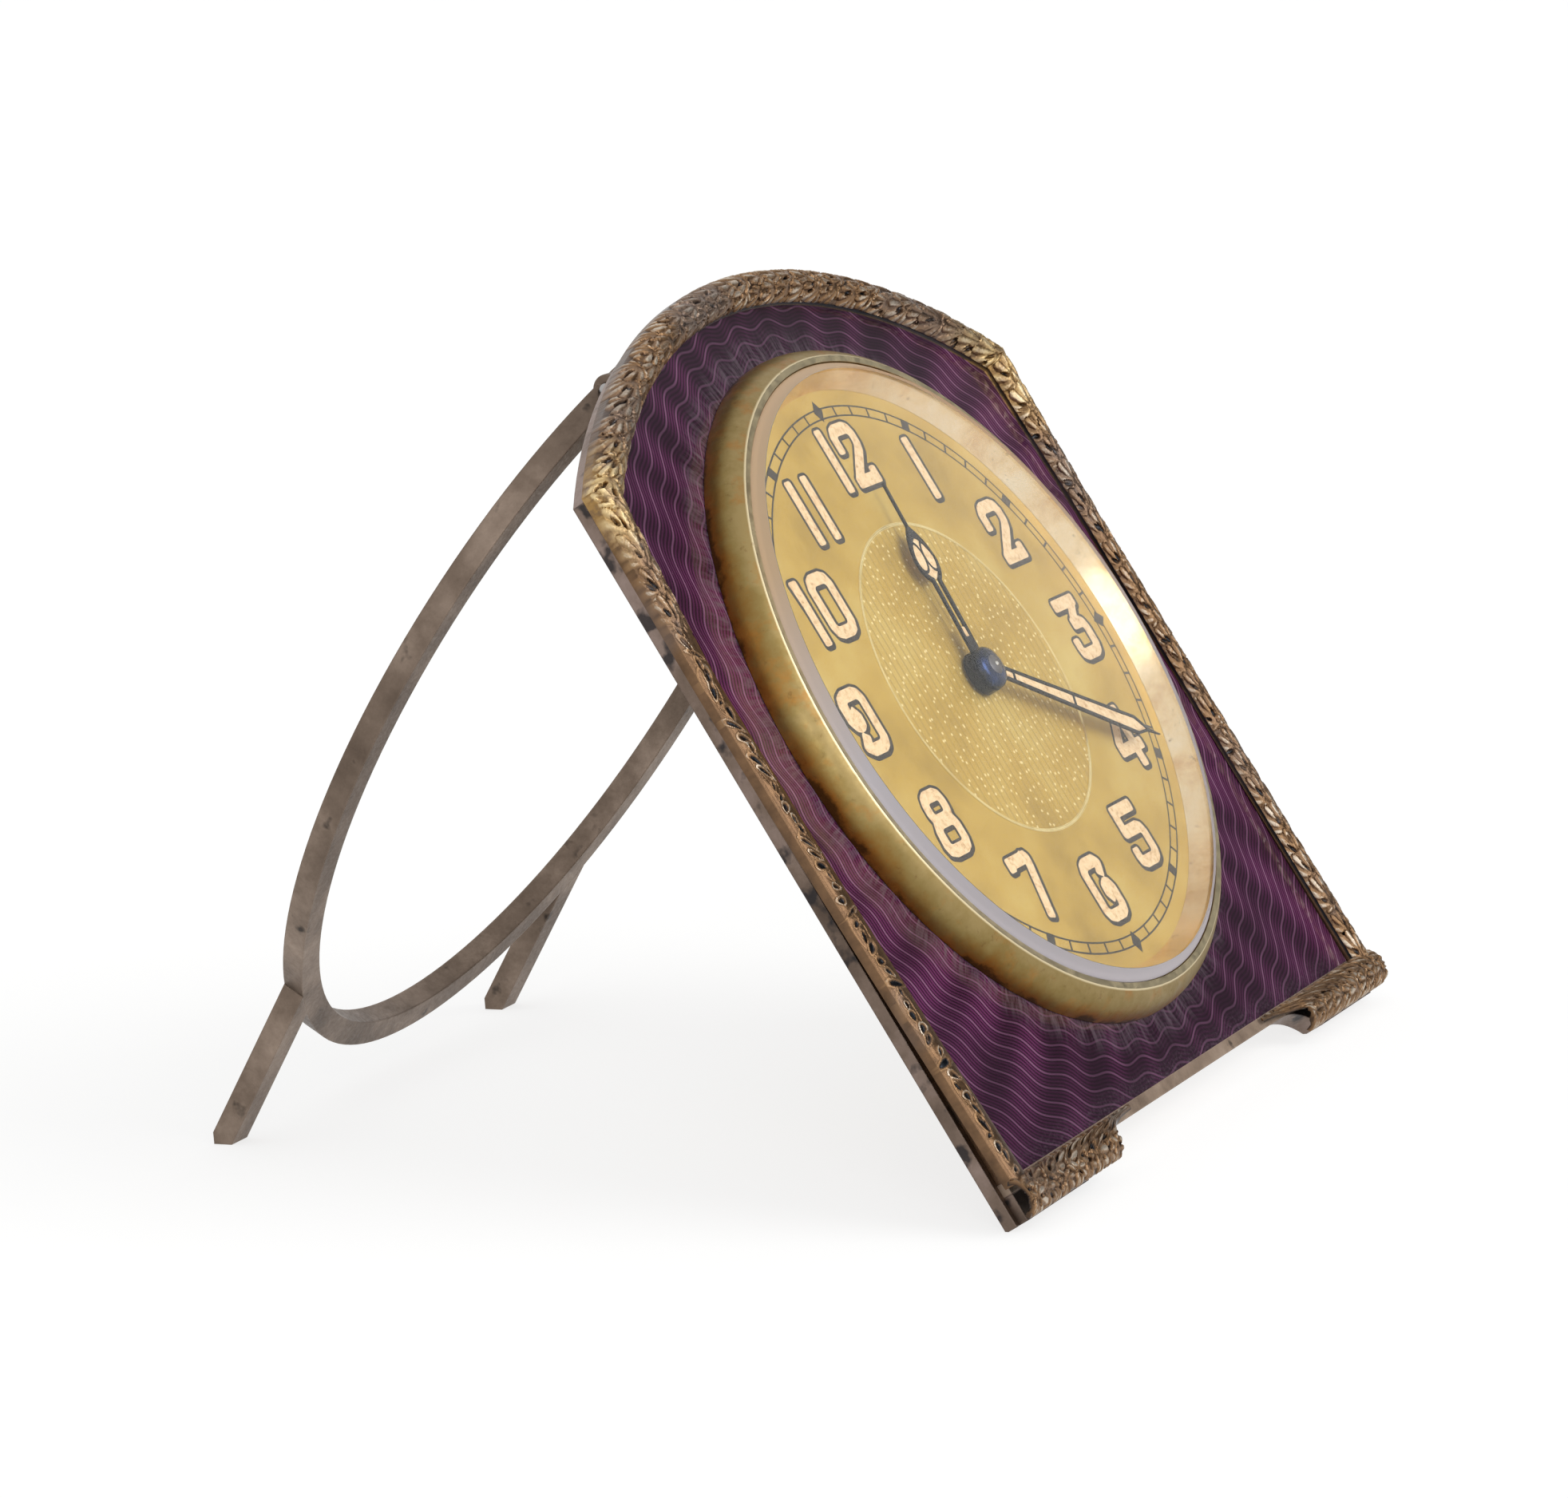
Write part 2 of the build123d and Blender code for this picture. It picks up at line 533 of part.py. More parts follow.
# Bezel, crystal and drum case
def build_bezel():
    """Rounded bezel with its inner slope, and the domed crystal in its seat."""
    dome = (CRYSTAL_RADIUS - CRYSTAL_BEVEL) ** 2 / (2 * CRYSTAL_RISE) + CRYSTAL_RISE / 2
    lip_top = Z_ENAMEL + BEZEL_HEIGHT
    edge_top = lip_top - CRYSTAL_EDGE
    bevel_top = edge_top + CRYSTAL_BEVEL
    crown = bevel_top + CRYSTAL_RISE
    bevel_radius = CRYSTAL_RADIUS - CRYSTAL_BEVEL
    inner_radius = CRYSTAL_RADIUS - CRYSTAL_SEAT - CRYSTAL_BEVEL / 2

    def sag(radius):
        return dome - math.sqrt(dome ** 2 - radius ** 2)

    rim_low = crown - CRYSTAL_THICKNESS - sag(inner_radius)
    rim = Polyline((inner_radius, rim_low), (CRYSTAL_RADIUS, rim_low), (CRYSTAL_RADIUS, edge_top),
                   (bevel_radius, bevel_top))
    top = ThreePointArc((bevel_radius, bevel_top),
                        (bevel_radius / 2, crown - sag(bevel_radius / 2)), (0, crown))
    axis = Line((0, crown), (0, crown - CRYSTAL_THICKNESS))
    under = ThreePointArc((0, crown - CRYSTAL_THICKNESS),
                          (inner_radius / 2, crown - CRYSTAL_THICKNESS - sag(inner_radius / 2)),
                          (inner_radius, rim_low))
    parts["crystal"] = lathe(outline(rim, top, axis, under))

    seat = rim_low - SEAT_GAP
    groove = CRYSTAL_RADIUS + CASE_GAP
    lip = groove + BEZEL_LIP
    base = Z_ENAMEL + SEAT_GAP
    skirt = BEZEL_RADIUS - BEZEL_SKIRT
    pocket = DIAL_RADIUS + CASE_GAP
    middle = ((BEZEL_RADIUS + lip) / 2 + BEZEL_BULGE, (base + lip_top) / 2 + BEZEL_BULGE)
    wall = ThreePointArc((BEZEL_RADIUS, base), middle, (lip, lip_top))
    inside = Polyline((lip, lip_top), (groove, lip_top), (groove, seat),
                      (CRYSTAL_RADIUS - CRYSTAL_SEAT, seat), (REHAUT_RADIUS, SLIP), (pocket, SLIP),
                      (pocket, Z_DIAL_REAR + SEAT_GAP), (skirt, Z_DIAL_REAR + SEAT_GAP),
                      (skirt, base), (BEZEL_RADIUS, base))
    parts["bezel"] = lathe(outline(wall, inside))


def build_case():
    """Drum cup with its flange, retaining ring, back cover and dial spacer."""
    flange = BEZEL_RADIUS - BEZEL_SKIRT - CASE_GAP
    ledge = CUP_BORE - CUP_LEDGE
    cup = ring(CUP_RADIUS, CUP_BORE, Z_COVER_IN, Z_ENAMEL)
    cup += ring(flange, CUP_BORE, Z_ENAMEL, Z_DIAL_REAR)
    cup += ring(CUP_RADIUS, ledge, Z_MAIN_REAR - CUP_LEDGE_HEIGHT, Z_MAIN_REAR)
    parts["case_cup"] = cup

    low = Z_REAR - RETAINING_RING_HEIGHT
    nut = ring(RETAINING_RING_RADIUS, CUP_RADIUS + SLIP, low, Z_REAR)
    slot_start = (CUP_RADIUS + RETAINING_RING_RADIUS) / 2
    slot = bar_box(slot_start, RETAINING_RING_RADIUS, -SPANNER_SLOT / 2, SPANNER_SLOT / 2, low, Z_REAR)
    parts["retaining_ring"] = nut - slot - left_of(slot)

    lip_outer = CUP_BORE - CASE_GAP
    cover = disc(CUP_RADIUS, Z_COVER_OUT, Z_COVER_IN)
    cover = fillet(cover.edges().group_by(Axis.Z)[0], COVER_EDGE)
    cover += ring(lip_outer, lip_outer - COVER_LIP, Z_COVER_IN, Z_COVER_IN + COVER_LIP)
    cover -= disc(BARREL_TOP_PIVOT_RADIUS + CASE_GAP, Z_COVER_OUT, Z_COVER_IN, BARREL_AXIS)
    cover -= disc(CENTRE_REAR_RADIUS + CASE_GAP, Z_COVER_OUT, Z_COVER_IN)
    parts["back_cover"] = cover

    spacer = CUP_BORE - CASE_GAP
    parts["dial_spacer"] = ring(spacer, spacer - SPACER_WALL, Z_MAIN_FRONT, Z_DIAL_REAR)
    parts["dial"] = ring(DIAL_RADIUS, DIAL_HOLE_RADIUS, Z_DIAL_REAR, 0)


# Toothed wheels
def gear_face(teeth, module, form, phase):
    """Outline of a toothed wheel, with a tooth centred on the phase angle in radians."""
    addendum, dedendum, tip, root = form
    pitch_radius = module * teeth / 2
    half_pitch = math.pi * module / 2
    flanks = ((pitch_radius - dedendum * module, -root), (pitch_radius + addendum * module, -tip),
              (pitch_radius + addendum * module, tip), (pitch_radius - dedendum * module, root))
    points = []
    for tooth in range(teeth):
        middle = phase + 2 * math.pi * tooth / teeth
        for radius, share in flanks:
            angle = middle + share * half_pitch / radius
            points.append((radius * math.cos(angle), radius * math.sin(angle)))
    return Polygon(*points, align=None)


WHEEL_FORM = (WHEEL_ADDENDUM, WHEEL_DEDENDUM, WHEEL_TIP, WHEEL_ROOT)
PINION_FORM = (PINION_ADDENDUM, PINION_DEDENDUM, PINION_TIP, PINION_ROOT)


def mesh_phase(teeth, phase, other_teeth, bearing):
    """Phase of a wheel that meshes with another, which stands at a bearing from it."""
    line = math.radians(bearing)
    return line + math.pi - (phase - line) * teeth / other_teeth - math.pi / other_teeth


def bearing_of(start, end):
    """Bearing in degrees from one point to another."""
    return math.degrees(math.atan2(end[1] - start[1], end[0] - start[0]))


BARREL_AXIS = polar(BARREL_DISTANCE, BARREL_BEARING)
BARREL_MESH = BARREL_MODULE * (BARREL_TEETH + INTERMEDIATE_LEAVES) / 2
INTERMEDIATE_MESH = INTERMEDIATE_MODULE * (INTERMEDIATE_TEETH + CENTRE_LEAVES) / 2
INTERMEDIATE_TURN = math.degrees(math.acos(
    (BARREL_DISTANCE ** 2 + INTERMEDIATE_MESH ** 2 - BARREL_MESH ** 2)
    / (2 * BARREL_DISTANCE * INTERMEDIATE_MESH)))
CENTRE_AXIS = (0.0, 0.0)
INTERMEDIATE_AXIS = polar(INTERMEDIATE_MESH, BARREL_BEARING - INTERMEDIATE_TURN)
THIRD_AXIS = polar(CENTRE_MODULE * (CENTRE_TEETH + THIRD_LEAVES) / 2, THIRD_BEARING)
FOURTH_AXIS = polar(THIRD_MODULE * (THIRD_TEETH + FOURTH_LEAVES) / 2, FOURTH_BEARING, THIRD_AXIS)
ESCAPE_AXIS = polar(FOURTH_MODULE * (FOURTH_TEETH + ESCAPE_LEAVES) / 2, ESCAPE_BEARING, FOURTH_AXIS)
PALLET_AXIS = polar(PALLET_DISTANCE, PALLET_BEARING, ESCAPE_AXIS)
BALANCE_AXIS = polar(BALANCE_DISTANCE, BALANCE_BEARING, PALLET_AXIS)
MINUTE_AXIS = polar(MOTION_MODULE * (CANNON_TEETH + MINUTE_WHEEL_TEETH) / 2, MINUTE_WHEEL_BEARING)
CLICK_AXIS = polar(CLICK_DISTANCE, CLICK_BEARING, BARREL_AXIS)

# Phases carried along the train from the centre wheel, so that every pair is in mesh at rest
CENTRE_PHASE = 0.0
INTERMEDIATE_PHASE = mesh_phase(
    CENTRE_LEAVES, CENTRE_PHASE, INTERMEDIATE_TEETH, bearing_of(CENTRE_AXIS, INTERMEDIATE_AXIS))
BARREL_PHASE = mesh_phase(
    INTERMEDIATE_LEAVES, 0.0, BARREL_TEETH, bearing_of(INTERMEDIATE_AXIS, BARREL_AXIS))
THIRD_PHASE = mesh_phase(CENTRE_TEETH, CENTRE_PHASE, THIRD_LEAVES, THIRD_BEARING)
FOURTH_PHASE = mesh_phase(THIRD_TEETH, 0.0, FOURTH_LEAVES, FOURTH_BEARING)
ESCAPE_PHASE = mesh_phase(FOURTH_TEETH, 0.0, ESCAPE_LEAVES, ESCAPE_BEARING)
MINUTE_PHASE = mesh_phase(CANNON_TEETH, 0.0, MINUTE_WHEEL_TEETH, MINUTE_WHEEL_BEARING)
HOUR_PHASE = mesh_phase(MINUTE_LEAVES, 0.0, HOUR_WHEEL_TEETH, MINUTE_WHEEL_BEARING + 180)


def behind(depth):
    """Level at a depth behind the main plate."""
    return Z_MAIN_REAR - depth


def crossed(blank, at, outer, inner, z_low, z_high):
    """A wheel blank with four round lightening holes between its rim and its hub."""
    radius = CROSSING_FILL * (outer - inner) / 2
    for quarter in range(4):
        centre = polar((outer + inner) / 2, 45 + 90 * quarter, at)
        blank -= disc(radius, z_low, z_high, centre)
    return blank


def train_wheel(at, teeth, module, phase, depth, bore):
    """A crossed-out brass train wheel."""
    high = behind(depth)
    low = high - WHEEL_THICKNESS
    face = gear_face(teeth, module, WHEEL_FORM, phase)
    wheel = Pos(at[0], at[1], 0) * slab(face, low, high) - disc(bore, low, high, at)
    rim = module * (teeth / 2 - WHEEL_DEDENDUM - WHEEL_RIM)
    return crossed(wheel, at, rim, bore + 2 * WHEEL_THICKNESS, low, high)


def pinion_leaves(at, leaves, module, phase, wheel_depth, wheel_thickness=WHEEL_THICKNESS):
    """Pinion leaves that run a little past the wheel that they mesh with."""
    high = behind(wheel_depth - PINION_OVERLAP)
    low = behind(wheel_depth + wheel_thickness + PINION_OVERLAP)
    return Pos(at[0], at[1], 0) * slab(gear_face(leaves, module, PINION_FORM, phase), low, high)


def arbor(at, radius=ARBOR_RADIUS, pivot=PIVOT_RADIUS):
    """A plain arbor between the plates with a pivot at each end."""
    body = disc(radius, Z_TOP_FRONT + END_SHAKE, Z_MAIN_REAR - END_SHAKE, at)
    return body + disc(pivot, Z_TOP_REAR, Z_MAIN_FRONT - END_SHAKE, at)


def root_radius(leaves, module):
    """Radius at the foot of a pinion's leaves."""
    return module * (leaves / 2 - PINION_DEDENDUM)


ESCAPE_ARBOR_RADIUS = root_radius(ESCAPE_LEAVES, FOURTH_MODULE)
FOURTH_ARBOR_RADIUS = min(ARBOR_RADIUS, root_radius(FOURTH_LEAVES, THIRD_MODULE))


def build_train():
    """Centre, intermediate, third, fourth and escape arbors with their wheels."""
    body = disc(CENTRE_BODY_RADIUS, Z_TOP_FRONT + END_SHAKE, Z_MAIN_REAR - END_SHAKE)
    body += disc(CENTRE_PIVOT_RADIUS, Z_TOP_REAR, Z_MAIN_FRONT)
    body += disc(CENTRE_FRONT_RADIUS, Z_MAIN_FRONT, MINUTE_HAND_HEIGHT + 3 * HAND_THICKNESS)
    body += disc(CENTRE_REAR_RADIUS, Z_KEY - KNOB_LENGTH, Z_TOP_REAR)
    parts["centre_arbor"] = body + pinion_leaves(
        CENTRE_AXIS, CENTRE_LEAVES, INTERMEDIATE_MODULE, CENTRE_PHASE, INTERMEDIATE_WHEEL_DEPTH)
    parts["centre_wheel"] = train_wheel(
        CENTRE_AXIS, CENTRE_TEETH, CENTRE_MODULE, CENTRE_PHASE, CENTRE_WHEEL_DEPTH, CENTRE_BODY_RADIUS)

    barrel_flange = BARREL_DEPTH + BARREL_HEIGHT - BARREL_TOOTH_DEPTH
    parts["intermediate_arbor"] = arbor(INTERMEDIATE_AXIS) + pinion_leaves(
        INTERMEDIATE_AXIS, INTERMEDIATE_LEAVES, BARREL_MODULE, 0.0, BARREL_TOOTH_DEPTH, barrel_flange)
    parts["intermediate_wheel"] = train_wheel(
        INTERMEDIATE_AXIS, INTERMEDIATE_TEETH, INTERMEDIATE_MODULE, INTERMEDIATE_PHASE,
        INTERMEDIATE_WHEEL_DEPTH, ARBOR_RADIUS)

    parts["third_arbor"] = arbor(THIRD_AXIS) + pinion_leaves(
        THIRD_AXIS, THIRD_LEAVES, CENTRE_MODULE, THIRD_PHASE, CENTRE_WHEEL_DEPTH)
    parts["third_wheel"] = train_wheel(
        THIRD_AXIS, THIRD_TEETH, THIRD_MODULE, 0.0, THIRD_WHEEL_DEPTH, ARBOR_RADIUS)

    parts["fourth_arbor"] = arbor(FOURTH_AXIS, FOURTH_ARBOR_RADIUS) + pinion_leaves(
        FOURTH_AXIS, FOURTH_LEAVES, THIRD_MODULE, FOURTH_PHASE, THIRD_WHEEL_DEPTH)
    parts["fourth_wheel"] = train_wheel(
        FOURTH_AXIS, FOURTH_TEETH, FOURTH_MODULE, 0.0, FOURTH_WHEEL_DEPTH, FOURTH_ARBOR_RADIUS)

    pivot = min(PIVOT_RADIUS, ESCAPE_ARBOR_RADIUS)
    parts["escape_arbor"] = arbor(ESCAPE_AXIS, ESCAPE_ARBOR_RADIUS, pivot) + pinion_leaves(
        ESCAPE_AXIS, ESCAPE_LEAVES, FOURTH_MODULE, ESCAPE_PHASE, FOURTH_WHEEL_DEPTH)
    parts["escape_wheel"] = escape_wheel()


def escape_wheel():
    """Fifteen raked teeth; the line to the pallets falls midway between two of them."""
    pitch = 360 / ESCAPE_TEETH
    root = ESCAPE_RADIUS - ESCAPE_TOOTH_DEPTH
    points = []
    for tooth in range(ESCAPE_TEETH):
        tip = PALLET_BEARING + pitch * (tooth + 0.5)
        for radius, share in zip((ESCAPE_RADIUS, ESCAPE_RADIUS, root, root), ESCAPE_TOOTH_SHARES):
            points.append(polar(radius, tip + pitch * share))
    high = behind(ESCAPE_WHEEL_DEPTH)
    low = high - WHEEL_THICKNESS
    wheel = Pos(*ESCAPE_AXIS, 0) * slab(Polygon(*points, align=None), low, high)
    wheel -= disc(ESCAPE_ARBOR_RADIUS, low, high, ESCAPE_AXIS)
    rim = root - WHEEL_THICKNESS / 2
    return crossed(wheel, ESCAPE_AXIS, rim, ESCAPE_ARBOR_RADIUS + WHEEL_THICKNESS, low, high)


# Springs
def spiral_face(start, pitch, turns, thickness):
    """A spiral strip of half circles about two centres, as one closed outline."""
    def side(offset):
        arcs = []
        for half in range(2 * turns):
            upper = half % 2 == 0
            centre = (0, 0) if upper else (pitch / 2, 0)
            radius = start + half * pitch / 2 + offset
            arcs.append(CenterArc(centre, radius, 0 if upper else 180, 180))
        return arcs

    end = start + turns * pitch
    caps = [Line((start - thickness / 2, 0), (start + thickness / 2, 0)),
            Line((end - thickness / 2, 0), (end + thickness / 2, 0))]
    return outline(*side(thickness / 2), *side(-thickness / 2), *caps)


# Barrel, ratchet work and winding key
def build_barrel():
    """Going barrel with its cover, mainspring and arbor."""
    front = behind(BARREL_DEPTH)
    rear = front - BARREL_HEIGHT
    teeth_front = behind(BARREL_TOOTH_DEPTH)
    drum = BARREL_MODULE * (BARREL_TEETH / 2 - WHEEL_DEDENDUM) - SLIP
    bore = drum - BARREL_WALL
    hole = BARREL_ARBOR_RADIUS + RUNNING
    face = gear_face(BARREL_TEETH, BARREL_MODULE, WHEEL_FORM, BARREL_PHASE)
    flange = Pos(*BARREL_AXIS, 0) * slab(face, rear, teeth_front)
    barrel = disc(drum, rear, front, BARREL_AXIS) + flange
    barrel -= disc(bore, rear, front - BARREL_FLOOR, BARREL_AXIS)
    parts["barrel"] = barrel - disc(hole, rear, front, BARREL_AXIS)
    cover_front = rear + BARREL_FLOOR
    parts["barrel_cover"] = ring(bore - SLIP, hole, rear, cover_front, BARREL_AXIS)

    hub_front = front - BARREL_FLOOR - END_SHAKE
    hub_rear = cover_front + END_SHAKE
    spring_start = BARREL_HUB_RADIUS + SPRING_THICKNESS / 2 + END_SHAKE
    spiral = spiral_face(spring_start, SPRING_PITCH, SPRING_TURNS, SPRING_THICKNESS)
    parts["mainspring"] = Pos(*BARREL_AXIS, 0) * slab(spiral, hub_rear, hub_front)

    square = Pos(*BARREL_AXIS, 0) * Rectangle(WINDING_SQUARE, WINDING_SQUARE)
    pivot_rear = Z_MAIN_REAR - END_SHAKE
    shaft = disc(BARREL_PIVOT_RADIUS, pivot_rear, Z_MAIN_FRONT - END_SHAKE, BARREL_AXIS)
    shaft += disc(BARREL_ARBOR_RADIUS, Z_TOP_FRONT, pivot_rear, BARREL_AXIS)
    shaft += disc(BARREL_HUB_RADIUS, hub_rear, hub_front, BARREL_AXIS)
    shaft += disc(BARREL_TOP_PIVOT_RADIUS, Z_TOP_REAR - RATCHET_GAP, Z_TOP_FRONT, BARREL_AXIS)
    shaft += slab(square, Z_KEY - KEY_HUB_LENGTH / 2, Z_TOP_REAR - RATCHET_GAP)
    parts["barrel_arbor"] = shaft


def square_hole(z_low, z_high):
    """The hole that slips over the winding square."""
    side = WINDING_SQUARE + 2 * SLIP
    return slab(Pos(*BARREL_AXIS, 0) * Rectangle(side, side), z_low, z_high)


def build_winding():
    """Ratchet wheel, click and butterfly key."""
    low = Z_RATCHET
    high = Z_RATCHET + RATCHET_THICKNESS
    pitch = 360 / RATCHET_TEETH
    points = []
    for tooth in range(RATCHET_TEETH):
        points.append(polar(RATCHET_RADIUS, pitch * tooth))
        points.append(polar(RATCHET_RADIUS - RATCHET_TOOTH_DEPTH, pitch * (tooth + RATCHET_FACE_SHARE)))
    ratchet = Pos(*BARREL_AXIS, 0) * slab(Polygon(*points, align=None), low, high)
    parts["ratchet_wheel"] = ratchet - square_hole(low, high)

    reach = CLICK_DISTANCE - RATCHET_RADIUS - CLICK_CLEARANCE
    run = CLICK_BOSS_RADIUS + 2 * CLICK_WIDTH
    beak = Polygon((0, -CLICK_WIDTH), (run, -reach), (run, CLICK_WIDTH - reach),
                   (0, CLICK_WIDTH), align=None)
    lever = slab(beak, low, high) + disc(CLICK_BOSS_RADIUS, low, high)
    lever -= disc(CLICK_POST_RADIUS + RUNNING, low, high)
    parts["click"] = Pos(*CLICK_AXIS, 0) * Rot(0, 0, CLICK_BEARING - 90) * lever

    hub = disc(KEY_HUB_RADIUS, Z_KEY - KEY_HUB_LENGTH, Z_KEY, BARREL_AXIS)
    hub -= square_hole(Z_KEY - KEY_HUB_LENGTH / 2 - SEAT_GAP, Z_KEY)
    wing_radius = KEY_WING_HEIGHT / 2
    wing_centre = KEY_SPAN / 2 - wing_radius
    wings = Rectangle(2 * wing_centre, KEY_WAIST)
    for side in (-1, 1):
        wings += Pos(side * wing_centre, 0) * Circle(wing_radius)
    for side in (-1, 1):
        wings -= Pos(side * wing_centre, 0) * Circle(KEY_WING_HOLE)
    blade = extrude(Plane.XZ * wings, KEY_WING_THICKNESS / 2, both=True)
    blade_level = Z_KEY - KEY_HUB_LENGTH / 2 - SEAT_GAP - wing_radius
    key = hub + Pos(*BARREL_AXIS, blade_level) * blade
    parts["winding_key"] = key


def build_knob():
    """Fluted hand-setting knob on the rear end of the centre arbor."""
    points = []
    for flute in range(2 * KNOB_FLUTES):
        radius = KNOB_RADIUS if flute % 2 == 0 else KNOB_RADIUS - KNOB_FLUTE_DEPTH
        points.append(polar(radius, 180 * flute / KNOB_FLUTES))
    knob = slab(Polygon(*points, align=None), Z_KEY - KNOB_LENGTH, Z_KEY)
    parts["set_knob"] = knob - disc(CENTRE_REAR_RADIUS, Z_KEY - KNOB_LENGTH, Z_KEY)


# Motion work and hands
def build_motion_work():
    """Cannon pinion, minute wheel and hour wheel under the dial."""
    wheel_low = Z_MAIN_FRONT + 3 * END_SHAKE
    wheel_high = wheel_low + WHEEL_THICKNESS
    hour_low = wheel_high + 2 * END_SHAKE
    hour_high = hour_low + WHEEL_THICKNESS
    cannon_top = MINUTE_HAND_HEIGHT + HAND_THICKNESS
    leaves = gear_face(CANNON_TEETH, MOTION_MODULE, PINION_FORM, 0.0)
    cannon = slab(leaves, wheel_low - END_SHAKE, wheel_high + END_SHAKE)
    cannon += disc(CANNON_RADIUS, wheel_low - END_SHAKE, cannon_top)
    bore = CENTRE_FRONT_RADIUS + SLIP
    parts["cannon_pinion"] = cannon - disc(bore, wheel_low - END_SHAKE, cannon_top)

    leaf_top = hour_high + END_SHAKE
    wheel = slab(gear_face(MINUTE_WHEEL_TEETH, MOTION_MODULE, WHEEL_FORM, MINUTE_PHASE),
                 wheel_low, wheel_high)
    wheel += slab(gear_face(MINUTE_LEAVES, MOTION_MODULE, PINION_FORM, 0.0), wheel_high, leaf_top)
    wheel -= disc(MINUTE_POST_RADIUS + RUNNING, wheel_low, leaf_top)
    parts["minute_wheel"] = Pos(*MINUTE_AXIS, 0) * wheel

    pipe_bore = CANNON_RADIUS + RUNNING
    hour = slab(gear_face(HOUR_WHEEL_TEETH, MOTION_MODULE, WHEEL_FORM, HOUR_PHASE), hour_low, hour_high)
    hour += disc(HOUR_PIPE_RADIUS, hour_low, HOUR_HAND_HEIGHT + HAND_THICKNESS)
    parts["hour_wheel"] = hour - disc(pipe_bore, hour_low, HOUR_HAND_HEIGHT + HAND_THICKNESS)
    return leaf_top


def both_sides(points):
    """A closed outline from the right-hand points of a shape about the y axis."""
    return Polygon(*points, *[(-x, y) for x, y in reversed(points) if x > 0], align=None)


def flank(start, end, swell):
    """An arc between two points that stands outside their straight line by the swell."""
    run = (end[0] - start[0], end[1] - start[1])
    length = math.hypot(*run)
    middle = ((start[0] + end[0]) / 2 + swell * run[1] / length,
              (start[1] + end[1]) / 2 - swell * run[0] / length)
    return ThreePointArc(start, middle, end)


def pear(start, belly, end, half_width, neck, point):
    """A pear-shaped face about the y axis: its neck, its widest place and its pointed end."""
    corners = [(neck, start), (half_width, belly), (point, end)]
    edges = []
    for low, high in zip(corners, corners[1:]):
        edges.append(flank(low, high, HOUR_HEAD_SWELL))
        edges.append(flank((-low[0], low[1]), (-high[0], high[1]), -HOUR_HEAD_SWELL))
    edges.append(Line((-neck, start), (neck, start)))
    edges.append(Line((-point, end), (point, end)))
    return outline(*edges)


def hour_hand_face():
    """Open stem, pear-shaped head with two curved bars that cross in it, and a fine pointer."""
    frame = HAND_FRAME
    tip = HAND_TIP_HALF_WIDTH
    stem = HOUR_STEM_HALF_WIDTH
    slot = HOUR_STEM_SLOT
    head_end = HOUR_HAND_LENGTH - HOUR_POINTER
    head = head_end - HOUR_HEAD_LENGTH
    belly = head + HOUR_HEAD_BELLY
    half = HOUR_HEAD_HALF_WIDTH
    whole = pear(head, belly, head_end, half, stem, tip)
    hollow = pear(head + frame, belly, head_end - 4 * frame, half - frame, slot, frame / 2)
    bar_high = (HOUR_HEAD_LENGTH - 2 * frame) / 3
    bar_wide = half / 2
    for side in (-1, 1):
        place = Pos(side * bar_wide, belly + frame)
        bar = Ellipse(bar_wide + frame / 4, bar_high) - Ellipse(bar_wide - frame / 2, bar_high - frame)
        hollow -= place * bar
    face = Circle(HOUR_BOSS_RADIUS) + both_sides([(stem, 0), (stem, head + frame)]) + whole
    face -= hollow
    face -= both_sides([(slot, HOUR_BOSS_RADIUS + HOUR_BLOCK), (slot, head + 2 * frame)])
    return face + both_sides([(tip, head_end - frame), (tip, HOUR_HAND_LENGTH - tip),
                              (0, HOUR_HAND_LENGTH)])


def minute_hand_face():
    """Long blade, widest at its shoulders, with a window between each pair of bars and a fine point."""
    root = MINUTE_ROOT_HALF_WIDTH
    half = MINUTE_BLADE_HALF_WIDTH
    tip = HAND_TIP_HALF_WIDTH
    shoulder = MINUTE_HAND_LENGTH - MINUTE_POINT
    taper = shoulder + MINUTE_POINT_TAPER
    blade = both_sides([(root, 0), (half, shoulder), (tip, taper), (0, MINUTE_HAND_LENGTH)])
    window = both_sides([(root - HAND_FRAME, MINUTE_BOSS_RADIUS + HAND_FRAME), (half - HAND_FRAME, shoulder),
                         (0, taper - HAND_FRAME)])
    for level in MINUTE_BARS:
        window -= Pos(0, level) * Rectangle(2 * half, HAND_BAR)
    return blade - window


def build_hands():
    """Hour hand on the hour pipe, minute hand on the cannon pinion."""
    top = HOUR_HAND_HEIGHT + HAND_THICKNESS
    hand = slab(hour_hand_face(), HOUR_HAND_HEIGHT, top)
    hand += disc(HOUR_BOSS_RADIUS, HOUR_BOSS_GAP, HOUR_HAND_HEIGHT)
    hand -= disc(HOUR_PIPE_RADIUS, HOUR_BOSS_GAP, top)
    parts["hour_hand"] = Rot(0, 0, -HOUR_HAND_ANGLE) * hand
    collar_low = top + HAND_THICKNESS
    top = MINUTE_HAND_HEIGHT + HAND_THICKNESS
    boss_top = top + MINUTE_BOSS_RISE
    hand = slab(minute_hand_face(), MINUTE_HAND_HEIGHT, top)
    hand += disc(MINUTE_BOSS_RADIUS, MINUTE_HAND_HEIGHT, boss_top)
    hand += disc(MINUTE_COLLAR_RADIUS, collar_low, MINUTE_HAND_HEIGHT)
    hand -= disc(CANNON_RADIUS, collar_low, top)
    hand -= disc(CENTRE_FRONT_RADIUS + SLIP, collar_low, boss_top)
    parts["minute_hand"] = Rot(0, 0, -MINUTE_HAND_ANGLE) * hand


